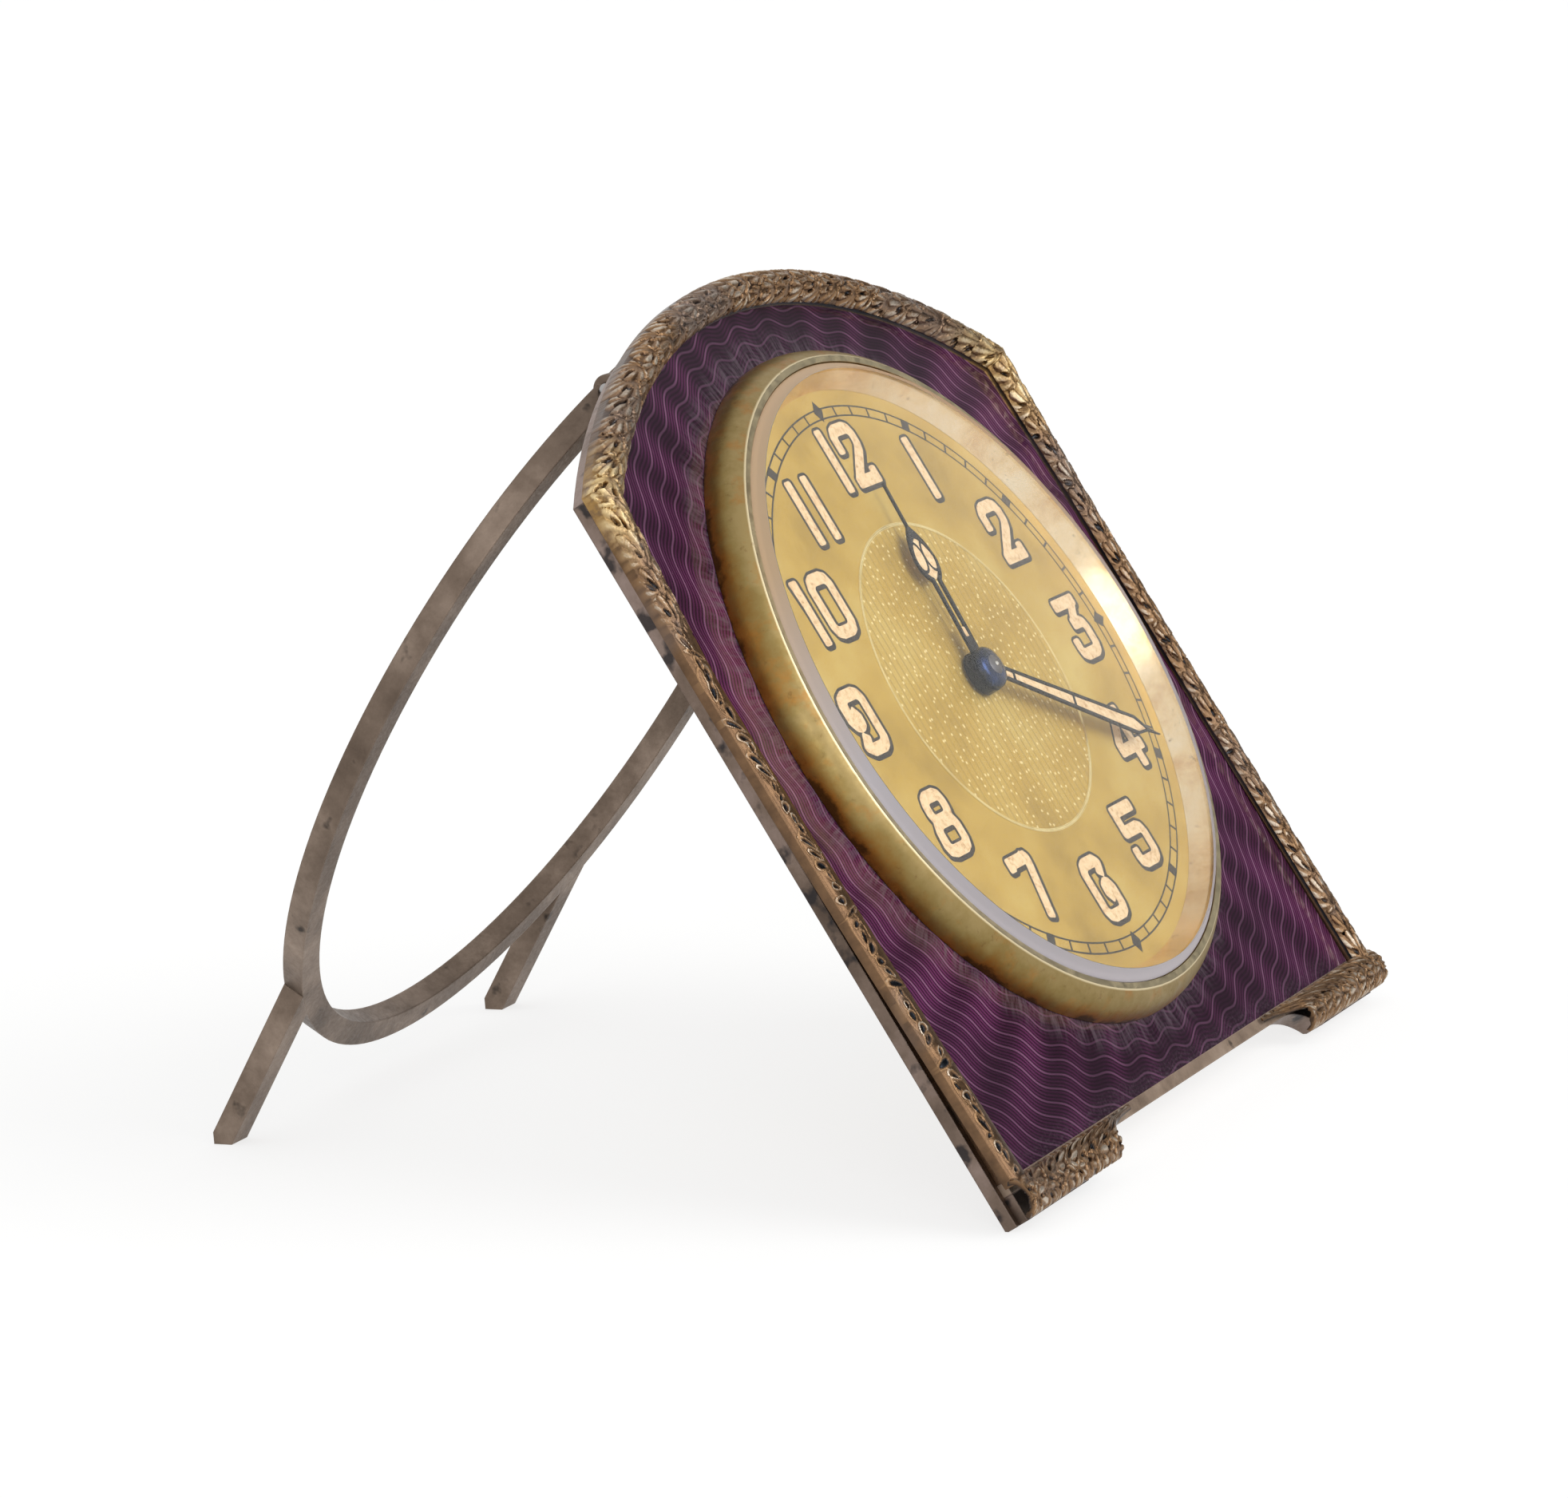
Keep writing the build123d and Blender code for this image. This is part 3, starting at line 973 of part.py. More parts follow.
# Escapement
def build_escapement():
    """Pallet lever, balance wheel, staff and hairspring."""
    high = behind(ESCAPE_WHEEL_DEPTH)
    low = high - WHEEL_THICKNESS
    toward = bearing_of(PALLET_AXIS, ESCAPE_AXIS)
    stone_circle = ESCAPE_RADIUS + PALLET_CLEARANCE
    face = Circle(PALLET_BOSS_RADIUS)
    for side in (-1, 1):
        span = math.radians(side * PALLET_HALF_SPAN)
        tip = (stone_circle * math.sin(span), stone_circle * math.cos(span) - PALLET_DISTANCE)
        outward = math.degrees(span)
        stone = Pos(*tip) * Rot(0, 0, -outward) * Pos(0, STONE_LENGTH / 2) * Rectangle(
            STONE_WIDTH, STONE_LENGTH)
        root = (tip[0] + STONE_SET * math.sin(span), tip[1] + STONE_SET * math.cos(span))
        reach = math.hypot(*root)
        arm = Rot(0, 0, math.degrees(math.atan2(root[1], root[0]))) * Pos(reach / 2, 0) * Rectangle(
            reach, PALLET_ARM_WIDTH)
        face += stone
        face += arm
    lever_end = BALANCE_DISTANCE - IMPULSE_PIN_CIRCLE - IMPULSE_PIN_RADIUS - FORK_CLEARANCE
    fork = 4 * IMPULSE_PIN_RADIUS
    lever = Pos(lever_end / 2, 0) * Rectangle(lever_end, LEVER_WIDTH)
    lever += Pos(lever_end - fork / 2, 0) * Rectangle(fork, 3 * fork)
    lever -= Pos(lever_end - fork / 4, 0) * Rectangle(fork / 2, fork)
    pallet = Rot(0, 0, toward + 90) * slab(face, low, high)
    pallet += Rot(0, 0, BALANCE_BEARING) * slab(lever, low, high)
    pallet = Pos(*PALLET_AXIS, 0) * pallet
    parts["pallet_lever"] = pallet + arbor(PALLET_AXIS, ESCAPE_ARBOR_RADIUS, STAFF_PIVOT_RADIUS)

    rim_high = behind(BALANCE_WHEEL_DEPTH)
    rim_low = rim_high - BALANCE_THICKNESS
    wheel = ring(BALANCE_RADIUS, BALANCE_RADIUS - BALANCE_RIM, rim_low, rim_high)
    wheel += slab(Rectangle(2 * (BALANCE_RADIUS - BALANCE_RIM / 2), BALANCE_ARM), rim_low, rim_high)
    wheel += disc(BALANCE_HUB_RADIUS, rim_low, rim_high)
    wheel -= disc(STAFF_RADIUS, rim_low, rim_high)
    parts["balance_wheel"] = Pos(*BALANCE_AXIS, 0) * wheel

    roller_high = behind(ROLLER_DEPTH)
    roller_low = roller_high - ROLLER_THICKNESS
    pin_at = polar(IMPULSE_PIN_CIRCLE, BALANCE_BEARING + 180, BALANCE_AXIS)
    staff = arbor(BALANCE_AXIS, STAFF_RADIUS, STAFF_PIVOT_RADIUS)
    staff += disc(ROLLER_RADIUS, roller_low, roller_high, BALANCE_AXIS)
    staff += disc(IMPULSE_PIN_RADIUS, low, roller_high, pin_at)
    parts["balance_staff"] = staff

    spring_high = behind(HAIRSPRING_DEPTH)
    spiral = spiral_face(HAIRSPRING_START, HAIRSPRING_PITCH, HAIRSPRING_TURNS, HAIRSPRING_THICKNESS)
    parts["hairspring"] = Pos(*BALANCE_AXIS, 0) * slab(spiral, spring_high - HAIRSPRING_HEIGHT, spring_high)


# Movement plates
def build_plates(minute_post_top):
    """Main plate, top plate, pillars and screws, bored for every pivot."""
    small = PIVOT_RADIUS + RUNNING
    fine = STAFF_PIVOT_RADIUS + RUNNING
    main_holes = [(CENTRE_AXIS, CENTRE_PIVOT_RADIUS + RUNNING), (BARREL_AXIS, BARREL_PIVOT_RADIUS + RUNNING)]
    top_holes = [(CENTRE_AXIS, CENTRE_PIVOT_RADIUS + RUNNING),
                 (BARREL_AXIS, BARREL_TOP_PIVOT_RADIUS + RUNNING)]
    shared = [(INTERMEDIATE_AXIS, small), (THIRD_AXIS, small), (FOURTH_AXIS, small),
              (ESCAPE_AXIS, small), (PALLET_AXIS, fine), (BALANCE_AXIS, fine)]
    main = disc(CUP_BORE - CASE_GAP, Z_MAIN_REAR, Z_MAIN_FRONT)
    for at, radius in main_holes + shared:
        main -= disc(radius, Z_MAIN_REAR, Z_MAIN_FRONT, at)
    main += disc(MINUTE_POST_RADIUS, Z_MAIN_FRONT, minute_post_top, MINUTE_AXIS)
    stud_at = (BALANCE_AXIS[0] + HAIRSPRING_START + HAIRSPRING_TURNS * HAIRSPRING_PITCH
               + HAIRSPRING_THICKNESS / 2 + STUD_RADIUS, BALANCE_AXIS[1])
    main += disc(STUD_RADIUS, behind(HAIRSPRING_DEPTH + HAIRSPRING_HEIGHT), Z_MAIN_REAR, stud_at)
    parts["main_plate"] = main

    top = disc(TOP_PLATE_RADIUS, Z_TOP_REAR, Z_TOP_FRONT)
    for at, radius in top_holes + shared:
        top -= disc(radius, Z_TOP_REAR, Z_TOP_FRONT, at)
    pillars = Part()
    screws = Part()
    for bearing in PILLAR_ANGLES:
        at = polar(PILLAR_CIRCLE, bearing)
        hole = disc(SCREW_RADIUS + SLIP, Z_TOP_REAR, Z_TOP_FRONT + SCREW_DEPTH + SEAT_GAP, at)
        top -= hole
        pillars += disc(PILLAR_RADIUS, Z_TOP_FRONT, Z_MAIN_REAR, at) - hole
        head_low = Z_TOP_REAR - SCREW_HEAD_HEIGHT
        head = disc(SCREW_HEAD_RADIUS, head_low, Z_TOP_REAR, at)
        slot = Box(2 * SCREW_HEAD_RADIUS, SCREW_SLOT, SCREW_SLOT, align=BASE)
        head -= Pos(at[0], at[1], head_low) * slot
        screws += head + disc(SCREW_RADIUS, Z_TOP_REAR, Z_TOP_FRONT + SCREW_DEPTH, at)
    top += disc(CLICK_POST_RADIUS, Z_RATCHET, Z_TOP_REAR, CLICK_AXIS)
    parts["top_plate"] = top
    parts["pillars"] = pillars
    parts["pillar_screws"] = screws


# Easel strut
STRUT_SLOPE = STRUT_OPEN - LEAN
STRUT_PLACE = Pos(0, HINGE_Y, HINGE_Z) * Rot(STRUT_OPEN, 0, 0)


def x_rod(radius, x_low, x_high):
    """A round rod along the hinge axis."""
    return Pos(x_low, 0, 0) * Rot(0, 90, 0) * Cylinder(radius, x_high - x_low, align=BASE)


def strut_leg():
    """The right leg: a straight bar soldered to the hoop, cut flat on the table."""
    half = STRUT_BAR / 2
    slope = math.tan(math.radians(STRUT_SLOPE))

    def table(z):
        return z * slope - STRUT_LENGTH

    chamfer_z = LEG_CHAMFER_DEPTH - half
    side = Plane.YZ * Polygon(
        (-HOOP_CENTRE, half), (table(half), half), (table(chamfer_z), chamfer_z),
        (table(-half) + LEG_CHAMFER, -half), (-HOOP_CENTRE, -half), align=None)
    bar = Pos(LEG_OUTER - LEG_WIDTH, 0, 0) * extrude(side, LEG_WIDTH)
    hoop = Pos(0, -HOOP_CENTRE) * Ellipse(HOOP_HALF_WIDTH, HOOP_HALF_LENGTH)
    return bar - slab(hoop, -STRUT_BAR, STRUT_BAR)


def build_strut():
    """Bent hoop, soldered legs, fixed knuckle and hinge pin; drawn folded, then opened."""
    half = STRUT_BAR / 2
    bore = PIN_RADIUS + RUNNING
    hoop_face = Ellipse(HOOP_HALF_WIDTH, HOOP_HALF_LENGTH)
    hoop_face -= Ellipse(HOOP_HALF_WIDTH - HOOP_BAR, HOOP_HALF_LENGTH - HOOP_BAR)
    hoop = slab(Pos(0, -HOOP_CENTRE) * hoop_face, -half, half)
    crown = bar_box(-STRUT_KNUCKLE_START, STRUT_KNUCKLE_START, -HOOP_BAR, HOOP_HALF_LENGTH, -half, half)
    hoop -= crown
    for side in (-1, 1):
        low = STRUT_KNUCKLE_START if side > 0 else -STRUT_KNUCKLE_END
        hoop += x_rod(KNUCKLE_RADIUS, low, low + STRUT_KNUCKLE_END - STRUT_KNUCKLE_START)
    hoop -= x_rod(bore, -HALF_WIDTH, HALF_WIDTH)
    plate_side = bar_box(-HALF_WIDTH, HALF_WIDTH, -DIAL_TO_FEET, 2 * DIAL_TO_APEX,
                         Z_REAR - HEEL_GAP, HOOP_HALF_LENGTH)
    parts["strut_hoop"] = STRUT_PLACE * hoop - plate_side
    leg = strut_leg()
    parts["right_strut_leg"] = STRUT_PLACE * leg
    parts["left_strut_leg"] = STRUT_PLACE * left_of(leg)

    block = bar_box(-FIXED_KNUCKLE_HALF_LENGTH, FIXED_KNUCKLE_HALF_LENGTH,
                    -KNUCKLE_FOOT / 2, KNUCKLE_FOOT / 2, 0, HINGE_GAP)
    knuckle = x_rod(KNUCKLE_RADIUS, -FIXED_KNUCKLE_HALF_LENGTH, FIXED_KNUCKLE_HALF_LENGTH) + block
    knuckle -= x_rod(bore, -HALF_WIDTH, HALF_WIDTH)
    parts["hinge_knuckle"] = Pos(0, HINGE_Y, HINGE_Z) * knuckle
    parts["hinge_pin"] = Pos(0, HINGE_Y, HINGE_Z) * x_rod(PIN_RADIUS, -PIN_HALF_LENGTH, PIN_HALF_LENGTH)


def build_all():
    """Build every piece in the dial frame."""
    build_plate()
    build_mouldings()
    build_bezel()
    build_case()
    build_plates(build_motion_work())
    build_hands()
    build_train()
    build_barrel()
    build_winding()
    build_knob()
    build_escapement()
    build_strut()


def stand_on_table():
    """Stand the pieces on the table, centre them and write one file each."""
    standing = {name: STAND * part for name, part in parts.items()}
    boxes = [part.bounding_box() for part in standing.values()]
    middle = (min(box.min.Y for box in boxes) + max(box.max.Y for box in boxes)) / 2
    place = Pos(0, -middle, 0)
    for name, part in standing.items():
        export_step(place * part, f"parts/{name}.step")
    axes = {
        "strut": (0, HINGE_Y, HINGE_Z), "centre": (*CENTRE_AXIS, 0), "minute_wheel": (*MINUTE_AXIS, 0),
        "intermediate": (*INTERMEDIATE_AXIS, 0), "barrel": (*BARREL_AXIS, 0), "third": (*THIRD_AXIS, 0),
        "fourth": (*FOURTH_AXIS, 0), "escape": (*ESCAPE_AXIS, 0), "pallet": (*PALLET_AXIS, 0),
        "balance": (*BALANCE_AXIS, 0), "click": (*CLICK_AXIS, 0), "dial": (0, 0, 0)}
    for name, point in axes.items():
        at = (place * STAND * Pos(*point)).position
        print(f"axis {name} {at.X:.4f} {at.Y:.4f} {at.Z:.4f}")
    print(f"strut opens {STRUT_OPEN:.4f} degrees, slope {STRUT_SLOPE:.5f}, lean {LEAN:.5f}")


os.makedirs("parts", exist_ok=True)
build_all()
stand_on_table()
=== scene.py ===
"""Looks of a small strut clock: enamel front, chased silver rim, gilt bezel, grained dial and strut."""
import json
import math

import bmesh
import bpy
import numpy as np
from mathutils import Matrix, Vector


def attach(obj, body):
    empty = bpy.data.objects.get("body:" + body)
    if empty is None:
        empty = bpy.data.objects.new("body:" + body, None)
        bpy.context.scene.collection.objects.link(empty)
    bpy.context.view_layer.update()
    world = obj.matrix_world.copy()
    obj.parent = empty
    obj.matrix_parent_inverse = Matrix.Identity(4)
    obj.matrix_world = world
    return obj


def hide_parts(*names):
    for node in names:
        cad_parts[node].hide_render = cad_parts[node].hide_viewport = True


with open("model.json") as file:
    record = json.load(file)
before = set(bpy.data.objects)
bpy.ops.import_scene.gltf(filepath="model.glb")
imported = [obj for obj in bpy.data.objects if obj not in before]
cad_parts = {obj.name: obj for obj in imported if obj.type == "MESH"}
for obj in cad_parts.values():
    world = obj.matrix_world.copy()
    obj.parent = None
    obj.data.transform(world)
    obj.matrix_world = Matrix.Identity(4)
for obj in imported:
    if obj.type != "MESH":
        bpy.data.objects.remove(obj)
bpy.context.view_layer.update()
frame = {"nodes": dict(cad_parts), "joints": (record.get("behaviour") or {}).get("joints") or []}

bl_info = {
    "name": "Strut clock looks",
    "version": (1, 0, 0),
    "blender": (4, 5, 0),
    "location": "View3D > Sidebar > Clock",
    "description": "Gives the packed strut clock its metals, enamel, dial, hands and stage",
    "category": "Object",
}

MM = 0.001                   # plain sizes are in millimetres where nothing else is said
JOINTS = {joint["name"]: joint for joint in frame["joints"]}

# The dial frame in millimetres: x to the right, y up the plate, z out of the dial
CENTRE = Vector(JOINTS["hand_setting"]["pos_m"])
DIAL_TURN = math.acos(-JOINTS["hand_setting"]["axis"][2])
DIAL_AXES = Matrix.Rotation(DIAL_TURN, 4, "X")
DIAL = Matrix.Translation(CENTRE) @ DIAL_AXES @ Matrix.Scale(MM, 4)
DIAL_INVERSE = DIAL.inverted()


def node_points(name):
    """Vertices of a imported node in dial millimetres."""
    return np.array([DIAL_INVERSE @ v.co for v in frame["nodes"][name].data.vertices])


def node_limits(name):
    """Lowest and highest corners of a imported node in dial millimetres."""
    points = node_points(name)
    return points.min(axis=0), points.max(axis=0)


def linear(code):
    """A colour written as sRGB hex, in linear light."""
    channels = [int(code[i:i + 2], 16) / 255 for i in (1, 3, 5)]
    return tuple(c / 12.92 if c <= 0.04045 else ((c + 0.055) / 1.055) ** 2.4 for c in channels)


def opaque(colour):
    """A colour for a node socket, from sRGB hex or from a colour property."""
    return (*linear(colour), 1.0) if isinstance(colour, str) else (*colour, 1.0)


def per_metre(size_mm):
    """Texture scale that repeats once in a real size."""
    return 1 / (size_mm * MM)


def size(name, description, default_mm):
    """A length property, given in millimetres and held in metres."""
    return bpy.props.FloatProperty(
        name=name, description=description, default=default_mm * MM, min=0.0, unit="LENGTH",
        subtype="DISTANCE", precision=5)


def colour(name, description, code):
    """A colour property, given as sRGB hex."""
    return bpy.props.FloatVectorProperty(
        name=name, description=description, default=linear(code), min=0.0, max=1.0, size=3,
        subtype="COLOR")


class ClockSizes(bpy.types.PropertyGroup):
    """Sizes of the printed, painted and chased work."""
    stroke: size("Numeral stroke", "Width of the painted stroke of a numeral", 1.2)
    numeral_edge: size("Numeral edge", "Dark edge left round the painted stroke", 0.32)
    paint_height: size("Paint height", "Height of the luminous paint above the dial", 0.05)
    track_inner: size("Track inner radius", "Inner circle of the minute track", 24.6)
    track_outer: size("Track outer radius", "Outer circle of the minute track", 25.5)
    track_line: size("Track line", "Width of the printed lines", 0.15)
    centre_circle: size("Centre circle", "Radius of the bright circle round the dial's centre", 14.3)
    wave_step: size("Wave step", "Spacing of the bright engine-turned lines", 1.5)
    wave_height: size("Wave height", "Sideways swing of the engine-turned lines", 0.36)
    carving_depth: size("Carving depth", "Depth of the chased work on the mouldings", 0.45)
    leaf_step: size("Leaf step", "Spacing of the chased leaves along a moulding", 1.35)


class ClockColours(bpy.types.PropertyGroup):
    """Colours of the metals, enamel and paint."""
    enamel_deep: colour("Enamel, deep", "Enamel between the engine-turned lines", "#23091d")
    # the two lighter enamel colours are painted sheen on the fine and bold engine-turned lines
    enamel_mid: colour("Enamel, middle", "Enamel over the fine lines", "#8a3f78")
    enamel_bright: colour("Enamel, bright", "Enamel over the bright lines", "#bd86ad")
    silver: colour("Silver", "Tarnished silver of the bands and feet", "#9c8a82")
    silver_dark: colour("Silver, dark", "Tarnish on the bands and feet", "#5f5149")
    strut: colour("Strut silver", "Dull silver of the strut", "#76675b")
    chased: colour("Chased silver", "Backs of the chased leaves", "#8c6d4e")
    chased_dark: colour("Chased silver, recess", "Tarnish in the chased pits", "#22262c")
    gilt: colour("Gilt brass", "Wall of the bezel and the back", "#988458")
    # the pale inner-slope gilt is peach gilt painted paler as a highlight
    gilt_bright: colour("Gilt brass, bright", "Inner slope of the bezel", "#f8dcae")
    dial: colour("Dial", "Grained gilt of the dial", "#bc9b42")
    paint: colour("Luminous paint", "Aged luminous paint of numerals and hands", "#dcbd93")
    print_black: colour("Printing", "Printed track and numeral edges", "#1b150f")
    blued: colour("Blued steel", "Hands, screws and springs", "#24262e")
    brass: colour("Brass", "Plates and wheels of the movement", "#b8974f")
    steel: colour("Steel", "Arbors and pinions", "#a9a7a6")


# Nodes and materials
def add(tree, kind, feeds=(), stops=(), **settings):
    """Add a shader node: settings are its values, feeds its inputs, stops a ramp's colours.

    The inputs come in order or by name, each as a node, a socket, a value or a hex colour.
    """
    node = tree.nodes.new("ShaderNode" + kind)
    for name, value in settings.items():
        setattr(node, name, value)
    for index, (place, shade) in enumerate(stops):
        ramp = node.color_ramp
        stop = ramp.elements[index] if index < 2 else ramp.elements.new(place)
        stop.position = place
        stop.color = opaque(shade)
    for key, source in feeds.items() if isinstance(feeds, dict) else enumerate(feeds):
        if isinstance(source, bpy.types.Node):
            source = source.outputs[2 if source.bl_idname == "ShaderNodeMix" else 0]
        if isinstance(source, bpy.types.NodeSocket):
            tree.links.new(source, node.inputs[key])
        else:
            node.inputs[key].default_value = opaque(source) if isinstance(source, str) else source
    return node


def new_material(name):
    """An empty node material and its tree."""
    material = bpy.data.materials.new(name)
    material.use_nodes = True
    material.node_tree.nodes.clear()
    return material, material.node_tree


def dial_place(tree):
    """Coordinates in dial millimetres, where a pattern scale of 1 / 5 repeats once in 5 mm."""
    where = add(tree, "TexCoord")
    return add(tree, "Mapping", {
        "Vector": where.outputs["Object"], "Location": CENTRE, "Rotation": (DIAL_TURN, 0, 0),
        "Scale": (MM, MM, MM)}, vector_type="TEXTURE")


def from_axis(tree, place):
    """A place laid flat on the dial, and its distance from the dial's axis in millimetres."""
    flat = add(tree, "VectorMath", (place, (1, 1, 0)), operation="MULTIPLY")
    return flat, add(tree, "VectorMath", (flat,), operation="LENGTH").outputs["Value"]


ARRIS = 0.22                 # rounding of the rubbed edges of sheet and bar
SHEET_GRAIN = 0.35           # fine grain of worn sheet and bar


def worn_metal(name, pale, body, dark, spot, spot_share=0.58, mottle=6.0, spot_size=3.5, roughness=0.42,
               edge_share=0.6, metallic=1.0):
    """Old silver: clouds and dark spots of given sizes in millimetres, fine grain and rubbed edges."""
    material, tree = new_material(name)
    where = add(tree, "TexCoord").outputs["Object"]
    clouds = add(tree, "TexNoise",
                 {"Vector": where, "Scale": per_metre(mottle), "Detail": 6.0, "Roughness": 0.62})
    shade = add(tree, "ValToRGB", (clouds,), ((0.3, dark), (0.5, body), (0.72, pale)))
    patches = add(tree, "TexNoise",
                  {"Vector": where, "Scale": per_metre(spot_size), "Detail": 3.0, "Roughness": 0.5})
    spots = add(tree, "MapRange", (patches, spot_share, spot_share + 0.09, 0.0, 0.85))
    spotted = add(tree, "Mix", {0: spots, 6: shade, 7: opaque(spot)}, data_type="RGBA")
    rounded = add(tree, "Bevel", {"Radius": ARRIS * MM}, samples=4)
    true = add(tree, "NewGeometry")
    facing = add(tree, "VectorMath", (rounded, true.outputs["Normal"]), operation="DOT_PRODUCT")
    rubbed = add(tree, "MapRange", (facing.outputs["Value"], 0.99, 0.85, 0.0, edge_share))
    grain = add(tree, "TexNoise",
                {"Vector": where, "Scale": per_metre(SHEET_GRAIN), "Detail": 4.0, "Roughness": 0.7})
    worn = add(tree, "Math", (rubbed, grain), operation="MULTIPLY")
    skin = add(tree, "Mix", {0: worn, 6: spotted, 7: opaque(pale)}, data_type="RGBA")
    gloss = add(tree, "MapRange", (grain, 0.3, 0.7, roughness - 0.08, roughness + 0.12))
    bump = add(tree, "Bump", {
        "Strength": 0.25, "Distance": 0.05 * MM, "Height": grain, "Normal": rounded})
    surface = add(tree, "BsdfPrincipled", {
        "Base Color": skin, "Metallic": metallic, "Roughness": gloss, "Normal": bump})
    add(tree, "OutputMaterial", {"Surface": surface})
    return material


def tarnished_silver(colours):
    """Rolled silver sheet, dulled to a pinkish grey with brown clouds."""
    return worn_metal("tarnished_silver_sheet", colours.silver, "#8a7970",
                      colours.silver_dark, "#33302f", spot_share=0.64)


def edge_silver():
    """The same sheet along the sides, browner, with rust-dark spots where the lacquer went."""
    return worn_metal("tarnished_silver_edge", "#94827a", "#75655a", "#574a41", "#2b2b2e",
                      spot_share=0.54, mottle=7.0, spot_size=2.2)


def rail_silver():
    """The sheet of the rail, rubbed matt by handling: brown-grey with a pale lower arris, all painted
    paler than the bands' sheet as light where the rail sits in shade.
    """
    return worn_metal("silver_rail_painted_light", "#bda896", "#a18c7a", "#806d5d", "#4c4138",
                      spot_share=0.66, mottle=5.0, spot_size=2.0, roughness=0.55, edge_share=0.9,
                      metallic=0.6)


def strut_silver(colours):
    """Drawn silver bar, matt brown-grey, with dark oval stains and pale rubbed arrises."""
    return worn_metal("dull_silver_bar", "#9c8b7d", colours.strut, "#5b4e44", "#2e2a28",
                      spot_share=0.66, mottle=8.0, spot_size=2.4, roughness=0.46, edge_share=0.9)


def chased_silver(colours, shoulders):
    """Pressed and chased silver: brown backs, blue-black ground, bright crests partly rubbed and partly
    painted highlight, worn gilding.
    """
    material, tree = new_material("chased_silver")
    where = add(tree, "TexCoord").outputs["Object"]
    relief = add(tree, "Attribute", attribute_name="relief").outputs["Fac"]
    clouds = add(tree, "TexNoise",
                 {"Vector": where, "Scale": per_metre(1.6), "Detail": 5.0, "Roughness": 0.65})
    sway = add(tree, "Math", (clouds, 0.5), operation="SUBTRACT")
    sway = add(tree, "Math", (sway, 0.5, relief), operation="MULTIPLY_ADD")
    # relief sets the colour: blue-black tarnish in the pits, brown backs, and the highest crests painted
    # pale, partly rubbed metal and partly a painted highlight
    shade = add(tree, "ValToRGB", (sway,), (
        (0.1, colours.chased_dark), (0.32, "#4d3b2c"), (0.55, "#735840"),
        (0.84, colours.chased), (1.0, "#c3b5a3")))
    blush = add(tree, "TexNoise",
                {"Vector": where, "Scale": per_metre(9.0), "Detail": 3.0, "Roughness": 0.5})
    cool = add(tree, "MapRange", (blush, 0.48, 0.66, 0.0, 0.45))
    tinted = add(tree, "Mix", {0: cool, 6: shade, 7: "#6f6a6a"}, data_type="RGBA")
    gilded = None
    for place, reach in shoulders:
        away = add(tree, "VectorMath", (where, place), operation="DISTANCE")
        near = add(tree, "MapRange", (away.outputs["Value"], reach * MM, 0.2 * reach * MM, 0.0, 1.0))
        gilded = near if gilded is None else add(
            tree, "Math", (gilded, near), operation="MAXIMUM")
    broken = add(tree, "MapRange", (clouds, 0.36, 0.56, 0.15, 0.85))
    gilding = add(tree, "Math", (gilded, broken), operation="MULTIPLY")
    # the gilding is painted paler on the highest crests in the same way, as a painted highlight
    gilt = add(tree, "ValToRGB", (sway,), ((0.1, "#5a421f"), (0.45, "#a5814a"), (0.95, "#e8cd96")))
    skin = add(tree, "Mix", {0: gilding, 6: tinted, 7: gilt}, data_type="RGBA")
    grain = add(tree, "TexNoise",
                {"Vector": where, "Scale": per_metre(0.22), "Detail": 4.0, "Roughness": 0.7})
    bump = add(tree, "Bump", {"Strength": 0.35, "Distance": 0.06 * MM, "Height": grain})
    gloss = add(tree, "MapRange", (sway, 0.2, 0.9, 0.3, 0.42))
    surface = add(tree, "BsdfPrincipled", {
        "Base Color": skin, "Metallic": 0.85, "Roughness": gloss, "Normal": bump})
    add(tree, "OutputMaterial", {"Surface": surface})
    return material


WAVES_ROUND = 38             # waves of the engine turning in one turn
WAVE_DRIFT = 0.35            # lean of the waves, radians for each millimetre outwards
FINE_LINES = 4               # fine lines to each bright one, coarser than the real ones so as to show
BOLD_LINE = (0.03, 0.17)     # half width of a bright line, at its core and at its faded edge
HAZE = (31.3, 34.2)          # radii over which the wiped haze round the bezel fades
RAIL_DUST = (-33.9, -36.0)   # heights over which dust gathers down to the rail


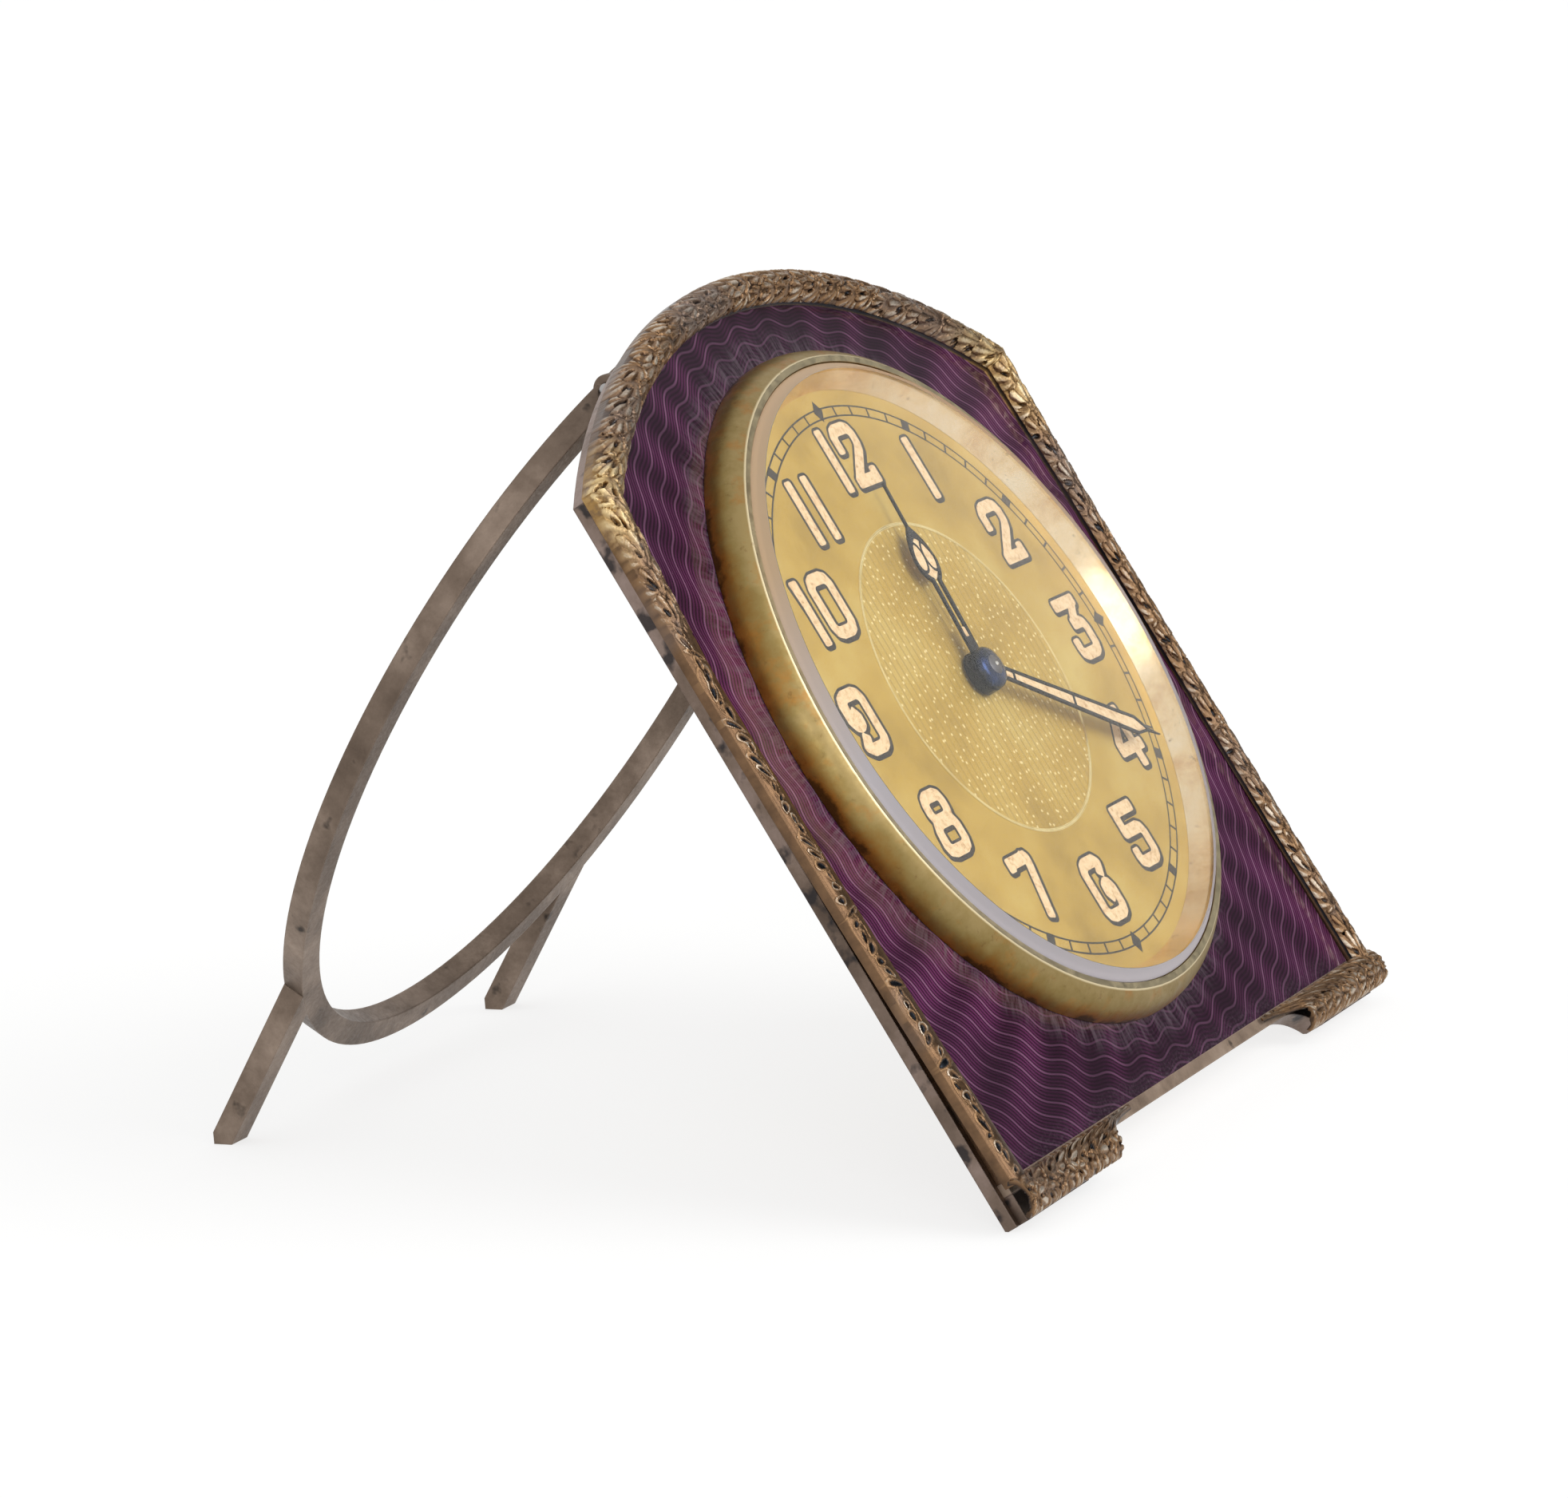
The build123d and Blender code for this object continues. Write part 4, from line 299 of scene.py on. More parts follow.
def engine_turned_enamel(colours, sizes):
    """Clear purple enamel over engine-turned silver, with painted sheen: cuts that run up the plate are
    painted bright, others stay dark.
    """
    material, tree = new_material("enamel_over_engine_turning")
    place = dial_place(tree)
    flat, radius = from_axis(tree, place)
    axes = add(tree, "SeparateXYZ", (flat,))
    angle = add(tree, "Math", (axes.outputs["Y"], axes.outputs["X"]), operation="ARCTAN2")
    lean = add(tree, "Math", (radius, WAVE_DRIFT), operation="MULTIPLY")
    phase = add(tree, "Math", (angle, WAVES_ROUND, lean), operation="MULTIPLY_ADD")
    swing = add(tree, "Math", (phase,), operation="SINE")
    height = sizes.wave_height / MM
    path = add(tree, "Math", (swing, height, radius), operation="MULTIPLY_ADD")
    step = sizes.wave_step / MM
    to_bold = add(tree, "Math", (path, step / 2), operation="PINGPONG")
    bold = add(tree, "MapRange", (to_bold, *BOLD_LINE, 1.0, 0.0), interpolation_type="SMOOTHSTEP")
    fine_step = step / FINE_LINES
    to_fine = add(tree, "Math", (path, fine_step / 2), operation="PINGPONG")
    fine = add(tree, "MapRange", (to_fine, 0.0, fine_step / 2, 1.0, 0.0))
    # painted sheen: a cut is painted brighter the more nearly it runs up the plate, as side light would
    # show it, whatever the lamps
    steep = add(tree, "Math", (phase,), operation="COSINE")
    steep = add(tree, "Math", (steep, height * WAVES_ROUND), operation="MULTIPLY")
    tilt = add(tree, "Math", (steep, radius), operation="DIVIDE")
    bearing = add(tree, "Math", (angle, tilt), operation="ADD")
    upright = add(tree, "Math", (bearing,), operation="COSINE")
    glow = add(tree, "Math", (upright, upright), operation="MULTIPLY")
    # broad clouds make the painted sheen stronger and weaker in patches
    clouds = add(tree, "TexNoise", {"Vector": place, "Scale": 1 / 9, "Detail": 2.0})
    wide = add(tree, "MapRange", (clouds, 0.35, 0.65, 0.5, 1.15))
    glow = add(tree, "MapRange", (glow, 0.0, 1.0, 0.14, 1.0))
    glow = add(tree, "Math", (glow, wide), operation="MULTIPLY")
    # the fine lines take the painted sheen
    sheen_on_fine_lines = add(tree, "Math", (fine, glow), operation="MULTIPLY")
    base = add(tree, "Mix", {0: sheen_on_fine_lines, 6: opaque(colours.enamel_deep), 7: opaque(colours.enamel_mid)},
               data_type="RGBA")
    # the bold lines are painted bright by the same painted sheen
    sheen_on_bold_share = add(tree, "MapRange", (glow, 0.0, 1.0, 0.1, 0.62))
    sheen_on_bold_lines = add(tree, "Math", (bold, sheen_on_bold_share), operation="MULTIPLY")
    lined = add(tree, "Mix", {0: sheen_on_bold_lines, 6: base, 7: opaque(colours.enamel_bright)}, data_type="RGBA")
    rays = add(tree, "CombineXYZ", {0: angle, 1: radius})
    stroke = add(tree, "VectorMath", (rays, (60, 0.35, 0)), operation="MULTIPLY")
    wiped = add(tree, "TexNoise", {"Vector": stroke, "Scale": 1.0, "Detail": 3.0, "Roughness": 0.7})
    wiped = add(tree, "MapRange", (wiped, 0.42, 0.66, 0.0, 1.0))
    near_bezel = add(tree, "MapRange", (radius, *HAZE, 0.95, 0.0))
    haze = add(tree, "Math", (near_bezel, wiped), operation="MULTIPLY")
    specks = add(tree, "TexNoise", {"Vector": place, "Scale": 1 / 0.35, "Detail": 3.0, "Roughness": 0.8})
    rail = add(tree, "MapRange", (axes.outputs["Y"], *RAIL_DUST, 0.0, 0.7))
    caught = add(tree, "MapRange", (specks, 0.48, 0.72, 0.05, 1.0))
    edge_dust = add(tree, "Math", (rail, caught), operation="MULTIPLY")
    specked = add(tree, "MapRange", (specks, 0.72, 0.8, 0.0, 0.6))
    dust = add(tree, "Math", (edge_dust, haze), operation="MAXIMUM")
    dust = add(tree, "Math", (dust, specked), operation="MAXIMUM")
    dusty = add(tree, "Mix", {0: dust, 6: lined, 7: "#7d6c78"}, data_type="RGBA")
    relief = add(tree, "Math", (bold, 0.6, sheen_on_fine_lines), operation="MULTIPLY_ADD")
    bump = add(tree, "Bump", {"Strength": 0.2, "Distance": 0.05 * MM, "Height": relief})
    surface = add(tree, "BsdfPrincipled", {
        "Base Color": dusty, "Metallic": 0.3, "Roughness": 0.35, "Normal": bump,
        "Coat Weight": 0.7, "Coat Roughness": 0.06, "Coat IOR": 1.5})
    add(tree, "OutputMaterial", {"Surface": surface})
    return material


INNER_SLOPE = (28.75, 28.6)  # radii over which the wall gives way to the inner slope
LIP_HIGHLIGHT = (0.12, 0.04)    # depths below the lip over which the gold is painted pale as a highlight


def gilt_bezel(colours, limits):
    """Gilt brass, spun and polished: the wall painted orange-brown at its foot and olive higher up as
    shade and reflection, its lip painted pale as a highlight, peach inside, painted paler as a highlight.
    """
    material, tree = new_material("gilt_brass_bezel")
    foot, lip = limits
    place = dial_place(tree)
    axes = add(tree, "SeparateXYZ", (place,))
    radius = from_axis(tree, place)[1]
    clouds = add(tree, "TexNoise", {"Vector": place, "Scale": 1 / 5.0, "Detail": 6.0, "Roughness": 0.65})
    # by height the wall is painted dark orange-brown at its foot as painted shade and olive higher up as
    # painted reflection
    level = add(tree, "MapRange", (axes.outputs["Z"], foot, lip, 0.0, 1.0))
    sway = add(tree, "Math", (clouds, 0.5), operation="SUBTRACT")
    height = add(tree, "Math", (sway, 1.7, level), operation="MULTIPLY_ADD")
    wall = add(tree, "ValToRGB", (height,), (
        (0.0, "#54371a"), (0.14, "#8a5a26"), (0.36, "#846636"), (0.66, "#8a7648"),
        (0.95, colours.gilt)))
    # the inner slope is peach gilt painted paler towards white as a painted highlight
    slope = add(tree, "ValToRGB", (clouds,), (
        (0.3, "#e3b87c"), (0.5, colours.gilt_bright), (0.8, "#fff1d6")))
    worn = add(tree, "TexNoise", {"Vector": place, "Scale": 1 / 2.4, "Detail": 5.0, "Roughness": 0.6})
    copper = add(tree, "MapRange", (worn, 0.52, 0.68, 0.0, 0.6))
    wall = add(tree, "Mix", {0: copper, 6: wall, 7: "#a06c30"}, data_type="RGBA")
    inside = add(tree, "MapRange", (radius, *INNER_SLOPE, 0.0, 1.0))
    skin = add(tree, "Mix", {0: inside, 6: wall, 7: slope}, data_type="RGBA")
    # a painted highlight along the lip
    lip_highlight_mask = add(tree, "MapRange", (axes.outputs["Z"], *(lip - down for down in LIP_HIGHLIGHT), 0.0, 1.0))
    skin = add(tree, "Mix", {0: lip_highlight_mask, 6: skin, 7: "#dccda8"}, data_type="RGBA")
    specks = add(tree, "TexNoise", {"Vector": place, "Scale": 1 / 0.9, "Detail": 4.0, "Roughness": 0.7})
    pits = add(tree, "MapRange", (specks, 0.62, 0.75, 0.0, 0.45))
    pitted = add(tree, "Mix", {0: pits, 6: skin, 7: "#6b4a2a"}, data_type="RGBA")
    dull = add(tree, "MapRange", (specks, 0.3, 0.7, 0.36, 0.55))
    gloss = add(tree, "Mix", {0: inside, 2: dull, 3: 0.2}, data_type="FLOAT")
    bump = add(tree, "Bump", {"Strength": 0.12, "Distance": 0.04 * MM, "Height": specks})
    surface = add(tree, "BsdfPrincipled", {
        "Base Color": pitted, "Metallic": 1.0, "Roughness": gloss.outputs[0], "Normal": bump})
    add(tree, "OutputMaterial", {"Surface": surface})
    return material


GROUND_EDGE = 0.04           # width over which the polish gives way to the ground bevel
BEVEL_TAN = (-4.0, 14.0)     # heights on the dial over which the bevel turns from grey to the tan of a painted reflection of the gilt


def watch_glass(ground_from):
    """Clear glass, domed and polished; its ground bevel is grey, and painted tan at the top as a
    reflection of the gilt behind.

    Light from the lamps goes straight through.
    """
    material, tree = new_material("domed_glass")
    flat, radius = from_axis(tree, dial_place(tree))
    ground = add(tree, "MapRange", (radius, ground_from, ground_from + GROUND_EDGE, 0.0, 1.0))
    upward = add(tree, "SeparateXYZ", (flat,)).outputs["Y"]
    painted_gilt_reflection = add(tree, "MapRange", (upward, *BEVEL_TAN, 0.0, 1.0))
    grey = add(tree, "Mix", {0: painted_gilt_reflection, 6: "#b9b3b8", 7: "#c3a684"}, data_type="RGBA")
    tint = add(tree, "Mix", {0: ground, 6: "#fdfdfb", 7: grey}, data_type="RGBA")
    frost = add(tree, "MapRange", (ground, 0.0, 1.0, 0.02, 0.5))
    clear = add(tree, "MapRange", (ground, 0.0, 1.0, 1.0, 0.2))
    glass = add(tree, "BsdfPrincipled", {
        "Base Color": tint, "Roughness": frost, "IOR": 1.5, "Transmission Weight": clear})
    see_through = add(tree, "BsdfTransparent")
    rays = add(tree, "LightPath")
    surface = add(tree, "MixShader", (rays.outputs["Is Shadow Ray"], glass, see_through))
    add(tree, "OutputMaterial", {"Surface": surface})
    return material


LINE_SPACING = 0.9           # drawn lines across the middle of the dial
DRAWN_LINE = (0.03, 0.14)    # half width of a drawn line, at its core and at its faded edge


def grained_gilt(colours, sizes):
    """Dial brass, gilt and grained matt; fine upright drawing lines inside the bright circle."""
    material, tree = new_material("grained_gilt_dial")
    place = dial_place(tree)
    axes = add(tree, "SeparateXYZ", (place,))
    radius = from_axis(tree, place)[1]
    grain = add(tree, "TexNoise", {"Vector": place, "Scale": 1 / 0.16, "Detail": 3.0, "Roughness": 0.7})
    clouds = add(tree, "TexNoise", {"Vector": place, "Scale": 1 / 11, "Detail": 4.0, "Roughness": 0.55})
    sway = add(tree, "Math", (grain, 0.35, clouds), operation="MULTIPLY_ADD")
    shade = add(tree, "ValToRGB", (sway,), ((0.42, "#9b7d2c"), (0.66, colours.dial), (0.95, "#cfb66a")))
    middle = add(tree, "Math", (radius, sizes.centre_circle / MM), operation="LESS_THAN")
    to_line = add(tree, "Math", (axes.outputs["X"], LINE_SPACING / 2), operation="PINGPONG")
    line = add(tree, "MapRange", (to_line, *DRAWN_LINE, 0.7, 0.0))
    line = add(tree, "Math", (line, middle), operation="MULTIPLY")
    line = add(tree, "Math", (line, clouds), operation="MULTIPLY")
    lined = add(tree, "Mix", {0: line, 6: shade, 7: "#7a6430"}, data_type="RGBA")
    flecks = add(tree, "TexVoronoi", {"Vector": place, "Scale": 1 / 1.1, "Randomness": 1.0},
                 voronoi_dimensions="2D")
    fleck = add(tree, "MapRange", (flecks.outputs["Distance"], 0.07, 0.15, 0.85, 0.0))
    fleck = add(tree, "Math", (fleck, middle), operation="MULTIPLY")
    flecked = add(tree, "Mix", {0: fleck, 6: lined, 7: "#f0dfa8"}, data_type="RGBA")
    bump = add(tree, "Bump", {"Strength": 0.3, "Distance": 0.03 * MM, "Height": grain})
    surface = add(tree, "BsdfPrincipled", {
        "Base Color": flecked, "Metallic": 0.45, "Roughness": 0.5, "Normal": bump})
    add(tree, "OutputMaterial", {"Surface": surface})
    return material


TURNING_LINES = 6.0          # marks of the lathe tool to each millimetre


def plain_gilt(name, body, dark, roughness=0.3):
    """Gilt or bare brass, turned: bright with faint tarnish clouds."""
    material, tree = new_material(name)
    place = dial_place(tree)
    clouds = add(tree, "TexNoise", {"Vector": place, "Scale": 1 / 4.0, "Detail": 5.0, "Roughness": 0.6})
    shade = add(tree, "ValToRGB", (clouds,), ((0.3, dark), (0.6, body)))
    radius = from_axis(tree, place)[1]
    turning = add(tree, "TexNoise", {"W": radius, "Scale": TURNING_LINES, "Detail": 2.0},
                  noise_dimensions="1D")
    gloss = add(tree, "MapRange", (turning, 0.3, 0.7, roughness - 0.08, roughness + 0.1))
    bump = add(tree, "Bump", {"Strength": 0.2, "Distance": 0.03 * MM, "Height": turning})
    surface = add(tree, "BsdfPrincipled", {
        "Base Color": shade, "Metallic": 1.0, "Roughness": gloss, "Normal": bump})
    add(tree, "OutputMaterial", {"Surface": surface})
    return material


def polished_steel(name, body, dark, roughness=0.25):
    """Steel, polished and for hands and springs blued by heat: smooth with soft cloudy tone."""
    material, tree = new_material(name)
    where = add(tree, "TexCoord").outputs["Object"]
    clouds = add(tree, "TexNoise", {"Vector": where, "Scale": per_metre(1.2), "Detail": 4.0})
    shade = add(tree, "ValToRGB", (clouds,), ((0.35, dark), (0.65, body)))
    gloss = add(tree, "MapRange", (clouds, 0.3, 0.7, roughness - 0.06, roughness + 0.12))
    surface = add(tree, "BsdfPrincipled", {"Base Color": shade, "Metallic": 1.0, "Roughness": gloss})
    add(tree, "OutputMaterial", {"Surface": surface})
    return material


def luminous_paint(colours):
    """Luminous paint, dried chalky: cream with darker crumbs."""
    material, tree = new_material("aged_luminous_paint")
    where = add(tree, "TexCoord").outputs["Object"]
    crumbs = add(tree, "TexNoise",
                 {"Vector": where, "Scale": per_metre(0.5), "Detail": 5.0, "Roughness": 0.7})
    shade = add(tree, "ValToRGB", (crumbs,), (
        (0.3, "#b48a5c"), (0.48, colours.paint), (0.75, "#e8d2ac")))
    bump = add(tree, "Bump", {"Strength": 0.4, "Distance": 0.05 * MM, "Height": crumbs})
    surface = add(tree, "BsdfPrincipled", {"Base Color": shade, "Roughness": 0.75, "Normal": bump})
    add(tree, "OutputMaterial", {"Surface": surface})
    return material


def dial_print(colours):
    """Dial ink: matt brown-black, thinner in places."""
    material, tree = new_material("dial_ink")
    where = add(tree, "TexCoord").outputs["Object"]
    thin = add(tree, "TexNoise", {"Vector": where, "Scale": per_metre(0.9), "Detail": 4.0})
    shade = add(tree, "ValToRGB", (thin,), ((0.4, colours.print_black), (0.8, "#3a2e21")))
    surface = add(tree, "BsdfPrincipled", {"Base Color": shade, "Roughness": 0.6})
    add(tree, "OutputMaterial", {"Surface": surface})
    return material


def pressed_board():
    """Backing board of pressed card: brown, fibrous and matt."""
    material, tree = new_material("pressed_board")
    where = add(tree, "TexCoord").outputs["Object"]
    fibres = add(tree, "TexNoise",
                 {"Vector": where, "Scale": per_metre(0.8), "Detail": 6.0, "Roughness": 0.7})
    shade = add(tree, "ValToRGB", (fibres,), ((0.3, "#241a14"), (0.7, "#4a3a2c")))
    bump = add(tree, "Bump", {"Strength": 0.4, "Distance": 0.06 * MM, "Height": fibres})
    surface = add(tree, "BsdfPrincipled", {"Base Color": shade, "Roughness": 0.85, "Normal": bump})
    add(tree, "OutputMaterial", {"Surface": surface})
    return material


def dress(material, *nodes):
    """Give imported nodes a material."""
    for name in nodes:
        slots = frame["nodes"][name].data.materials
        slots.clear()
        slots.append(material)


# Meshes, drawn in dial millimetres
def new_piece(name, vertices, faces, body, material, slot, relief=None, sharp=40.0):
    """A closed mesh that rides on a body."""
    mesh = bpy.data.meshes.new(name)
    placed = np.asarray(vertices) @ np.array(DIAL.to_3x3()).T + np.array(CENTRE)
    mesh.from_pydata(placed.tolist(), [], faces)
    if relief is not None:
        mesh.attributes.new("relief", "FLOAT", "POINT").data.foreach_set("value", np.ravel(relief))
    work = bmesh.new()
    work.from_mesh(mesh)
    bmesh.ops.recalc_face_normals(work, faces=work.faces)
    work.to_mesh(mesh)
    work.free()
    mesh.polygons.foreach_set("use_smooth", [True] * len(mesh.polygons))
    mesh.set_sharp_from_angle(angle=math.radians(sharp))
    mesh.materials.append(material)
    piece = bpy.data.objects.new(name, mesh)
    bpy.context.scene.collection.objects.link(piece)
    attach(piece, body)
    return piece


def skin(sections):
    """Vertices and faces of a tube through closed sections, with both ends capped."""
    count, around = sections.shape[:2]
    faces = []
    for i in range(count - 1):
        for j in range(around):
            k = (j + 1) % around
            faces.append((i * around + j, i * around + k, (i + 1) * around + k, (i + 1) * around + j))
    faces.append(tuple(range(around)))
    faces.append(tuple((count - 1) * around + j for j in range(around)))
    return sections.reshape(-1, 3), faces


def prisms(outlines, low, high):
    """Flat plates of even thickness from closed outlines."""
    vertices = []
    faces = []
    for outline in outlines:
        first = len(vertices)
        count = len(outline)
        vertices += [(x, y, low) for x, y in outline] + [(x, y, high) for x, y in outline]
        faces.append(tuple(first + i for i in range(count)))
        faces.append(tuple(first + count + i for i in range(count)))
        for i in range(count):
            k = (i + 1) % count
            faces.append((first + i, first + k, first + count + k, first + count + i))
    return vertices, faces


def flat_ring(inner, outer, low, high, count=240):
    """A thin ring of square section about the dial's centre."""
    turn = np.linspace(0, 2 * np.pi, count, endpoint=False)
    corners = ((inner, low), (outer, low), (outer, high), (inner, high))
    rings = np.array([[(r * np.cos(t), r * np.sin(t), z) for r, z in corners] for t in turn])
    faces = []
    for i in range(count):
        n = (i + 1) % count
        for j in range(4):
            k = (j + 1) % 4
            faces.append((4 * i + j, 4 * i + k, 4 * n + k, 4 * n + j))
    return rings.reshape(-1, 3).tolist(), faces


def turned(profile, count=180):
    """A body turned about the dial's axis, from radii and heights that start and end on the axis."""
    angles = np.linspace(0, 2 * np.pi, count, endpoint=False)
    vertices = [(0.0, 0.0, profile[0][1])]
    for radius, height in profile[1:-1]:
        vertices += [(radius * math.cos(turn), radius * math.sin(turn), height) for turn in angles]
    vertices.append((0.0, 0.0, profile[-1][1]))
    last_ring = 1 + (len(profile) - 3) * count
    faces = []
    for i in range(count):
        n = (i + 1) % count
        faces.append((0, 1 + i, 1 + n))
        for first in range(1, last_ring, count):
            faces.append((first + i, first + count + i, first + count + n, first + n))
        faces.append((last_ring + i, len(vertices) - 1, last_ring + n))
    return vertices, faces


def dome(radius, crown, edge, rings=16):
    """Radii and heights of a shallow dome, from its crown out to its edge."""
    ball = (radius ** 2 + (crown - edge) ** 2) / (2 * (crown - edge))
    steps = np.linspace(0, radius, rings)
    return [(away, crown - ball + math.sqrt(ball ** 2 - away ** 2)) for away in steps]


def join(*shapes):
    """Several sets of vertices and faces as one."""
    vertices = []
    faces = []
    for points, sides in shapes:
        first = len(vertices)
        vertices += [tuple(p) for p in points]
        faces += [tuple(first + i for i in side) for side in sides]
    return vertices, faces


def bars_distance(x, y, paths, half):
    """Distance from bars along open paths, square at the ends and round at bends, below 0 inside."""
    best = np.full(np.shape(x), np.inf)
    for path in paths:
        last = len(path) - 2
        for index, ((x0, y0), (x1, y1)) in enumerate(zip(path, path[1:])):
            length = math.hypot(x1 - x0, y1 - y0)
            ux, uy = (x1 - x0) / length, (y1 - y0) / length
            along = (x - x0) * ux + (y - y0) * uy
            before = -along - (half if index == 0 else 0)
            after = along - length - (half if index == last else 0)
            beyond = np.maximum(before, after)
            across = np.abs((y - y0) * ux - (x - x0) * uy) - half
            outside = np.hypot(np.maximum(beyond, 0), np.maximum(across, 0))
            best = np.minimum(best, outside + np.minimum(np.maximum(beyond, across), 0))
        for x0, y0 in path[1:-1]:
            best = np.minimum(best, np.hypot(x - x0, y - y0) - half)
    return best


def outline_distance(x, y, corners):
    """Distance from a closed outline, below 0 inside."""
    best = np.full(np.shape(x), np.inf)
    inside = np.zeros(np.shape(x), bool)
    for (x0, y0), (x1, y1) in zip(corners, corners[1:] + corners[:1]):
        dx, dy = x1 - x0, y1 - y0
        share = np.clip(((x - x0) * dx + (y - y0) * dy) / (dx * dx + dy * dy), 0, 1)
        best = np.minimum(best, np.hypot(x - x0 - share * dx, y - y0 - share * dy))
        if dy:
            crosses = ((y0 > y) != (y1 > y)) & (x < (y - y0) * dx / dy + x0)
            inside ^= crosses
    return np.where(inside, -best, best)


def raised_shape(distance, box, cell, low, high, edge):
    """A closed pad over the places where a distance is below 0, rising softly from its rim."""
    x_low, x_high, y_low, y_high = box
    columns = int((x_high - x_low) / cell) + 1
    rows = int((y_high - y_low) / cell) + 1
    x, y = np.meshgrid(x_low + cell * np.arange(columns), y_low + cell * np.arange(rows), indexing="ij")
    far = distance(x, y)
    middle = distance(x[:-1, :-1] + cell / 2, y[:-1, :-1] + cell / 2)
    kept = middle < 0
    touching = np.zeros(x.shape, int)
    for di in (0, 1):
        for dj in (0, 1):
            touching[di:columns - 1 + di, dj:rows - 1 + dj] += kept
    rim = (touching > 0) & (touching < 4)
    for _ in range(3):
        grow_x = (distance(x + cell / 8, y) - distance(x - cell / 8, y)) * 4 / cell
        grow_y = (distance(x, y + cell / 8) - distance(x, y - cell / 8)) * 4 / cell
        steep = np.maximum(grow_x ** 2 + grow_y ** 2, 0.3)
        x = np.where(rim, x - far * grow_x / steep, x)
        y = np.where(rim, y - far * grow_y / steep, y)
        far = distance(x, y)
    rise = np.clip(-far / edge, 0, 1)
    top = low + (high - low) * np.sqrt(rise * (2 - rise))
    top = np.where(rim, low, top)
    used = touching > 0
    upper = np.full(x.shape, -1)
    upper[used] = np.arange(used.sum())
    lower = upper.copy()
    inner = used & ~rim
    lower[inner] = used.sum() + np.arange(inner.sum())
    vertices = np.concatenate([
        np.stack([x[used], y[used], top[used]], axis=1),
        np.stack([x[inner], y[inner], np.full(inner.sum(), low)], axis=1)])
    faces = []
    for i, j in zip(*np.nonzero(kept)):
        square = ((i, j), (i + 1, j), (i + 1, j + 1), (i, j + 1))
        faces.append(tuple(int(upper[p]) for p in square))
        under = tuple(int(lower[p]) for p in reversed(square))
        if set(under) != set(faces[-1]):
            faces.append(under)
    return vertices.tolist(), faces


# Chased mouldings
def drop(s, a, place, slant, length, width):
    """Depth of a pit driven in with a drop-shaped punch."""
    ux, uy = math.cos(slant), math.sin(slant)
    u = ((s - place[0]) * ux + (a - place[1]) * uy) / length
    v = ((a - place[1]) * ux - (s - place[0]) * uy) / (width * (1.15 - 0.5 * np.clip(u, -1, 1)))
    return np.sqrt(np.clip(1 - u ** 2 - v ** 2, 0, 1))


def bead(s, a, place, radius):
    """Height of a round berry."""
    away = ((s - place[0]) ** 2 + (a - place[1]) ** 2) / radius ** 2
    return np.sqrt(np.clip(1 - away, 0, 1))


RIBS = 13                    # ribs in one turn about a leaf's root
LEAF_GAP = 0.1               # shallow line left round a leaf
LEAF_LINE = 0.5              # relief in that line
LEAF_GROUND = 0.4            # relief of the metal between leaves
LEAF_PITS = 0.9              # depth of the pits in the leaves
PITS_EACH = 2                # pits in a leaf
BERRY_EVERY = 12             # leaves from one bunch of berries to the next
BERRY_FIRST = 4              # leaves before the first bunch
BERRIES = 7                  # one in the middle and six round it
BERRY_RING = 0.52            # from the middle berry to those round it
BERRY_RADIUS = 0.29
STIPPLE = 0.06               # height of the fine unevenness


def fan(s, a, root, facing, reach):
    """Height of a ribbed leaf fanned from its root, and each place's share of the way to its edge."""
    away = np.hypot(s - root[0], a - root[1])
    turn = (np.arctan2(a - root[1], s - root[0]) - facing + np.pi) % (2 * np.pi) - np.pi
    ribs = np.cos(RIBS * turn + 0.5 * away)
    edge = reach * np.clip(np.cos(turn / 2), 0.3, 1) ** 2.6 * (1 + 0.07 * ribs)
    share = away / edge
    back = 0.42 + 0.55 * np.sin(2.3 * np.clip(share, 0, 1))
    groove = 0.42 * np.clip(1.7 * share - 0.3, 0, 1) * (0.5 - 0.5 * ribs) ** 2
    return back - groove, share


def stipple(s, a, height, pitch):
    """Fine unevenness of hammered metal."""
    return height * np.sin(pitch * s + 3 * np.sin(5.3 * a)) * np.sin(8.3 * a + 2 * np.sin(4.7 * s))


def chased_height(s, a, width, step, seed):
    """Relief of overlapping leaves with pits and berries, from 0 in the pits to 1 on the crests."""
    chance = np.random.default_rng(seed)
    relief = np.full(np.broadcast(s, a).shape, LEAF_GROUND)
    pits = np.zeros(relief.shape)
    for index in range(-2, int(np.ptp(s) / step) + 4):
        at = float(np.min(s)) + step * (index + chance.uniform(-0.2, 0.2))
        side = 1 if index % 2 else -1
        root = (at, width * (0.5 + side * chance.uniform(0.05, 0.16)))
        facing = np.pi - side * chance.uniform(0.35, 0.95)
        reach = chance.uniform(0.46, 0.64) * width
        height, share = fan(s, a, root, facing, reach)
        covered = share < 1
        relief = np.where(covered, height * chance.uniform(0.9, 1.04), relief)
        relief = np.where(~covered & (share < 1 + LEAF_GAP / reach), LEAF_LINE, relief)
        pits[covered] = 0
        for _ in range(PITS_EACH):
            out = facing + chance.uniform(-0.7, 0.7)
            away = chance.uniform(0.35, 0.62) * reach
            pit = drop(s, a, (root[0] + away * math.cos(out), root[1] + away * math.sin(out)), out,
                       chance.uniform(0.4, 0.7), chance.uniform(0.13, 0.22))
            pits = np.maximum(pits, chance.uniform(0.6, 1.0) * pit)
        if index % BERRY_EVERY == BERRY_FIRST:
            for turn in range(BERRIES):
                away = BERRY_RING if turn else 0.0
                middle = (at + away * math.cos(turn), width / 2 + away * math.sin(turn))
                berry = bead(s, a, middle, BERRY_RADIUS)
                relief = np.where(berry > 0, 0.35 + 0.6 * berry, relief)
                pits[berry > 0] = 0
    return np.clip(relief + stipple(s, a, STIPPLE, 9.1) - LEAF_PITS * pits, 0, 1)


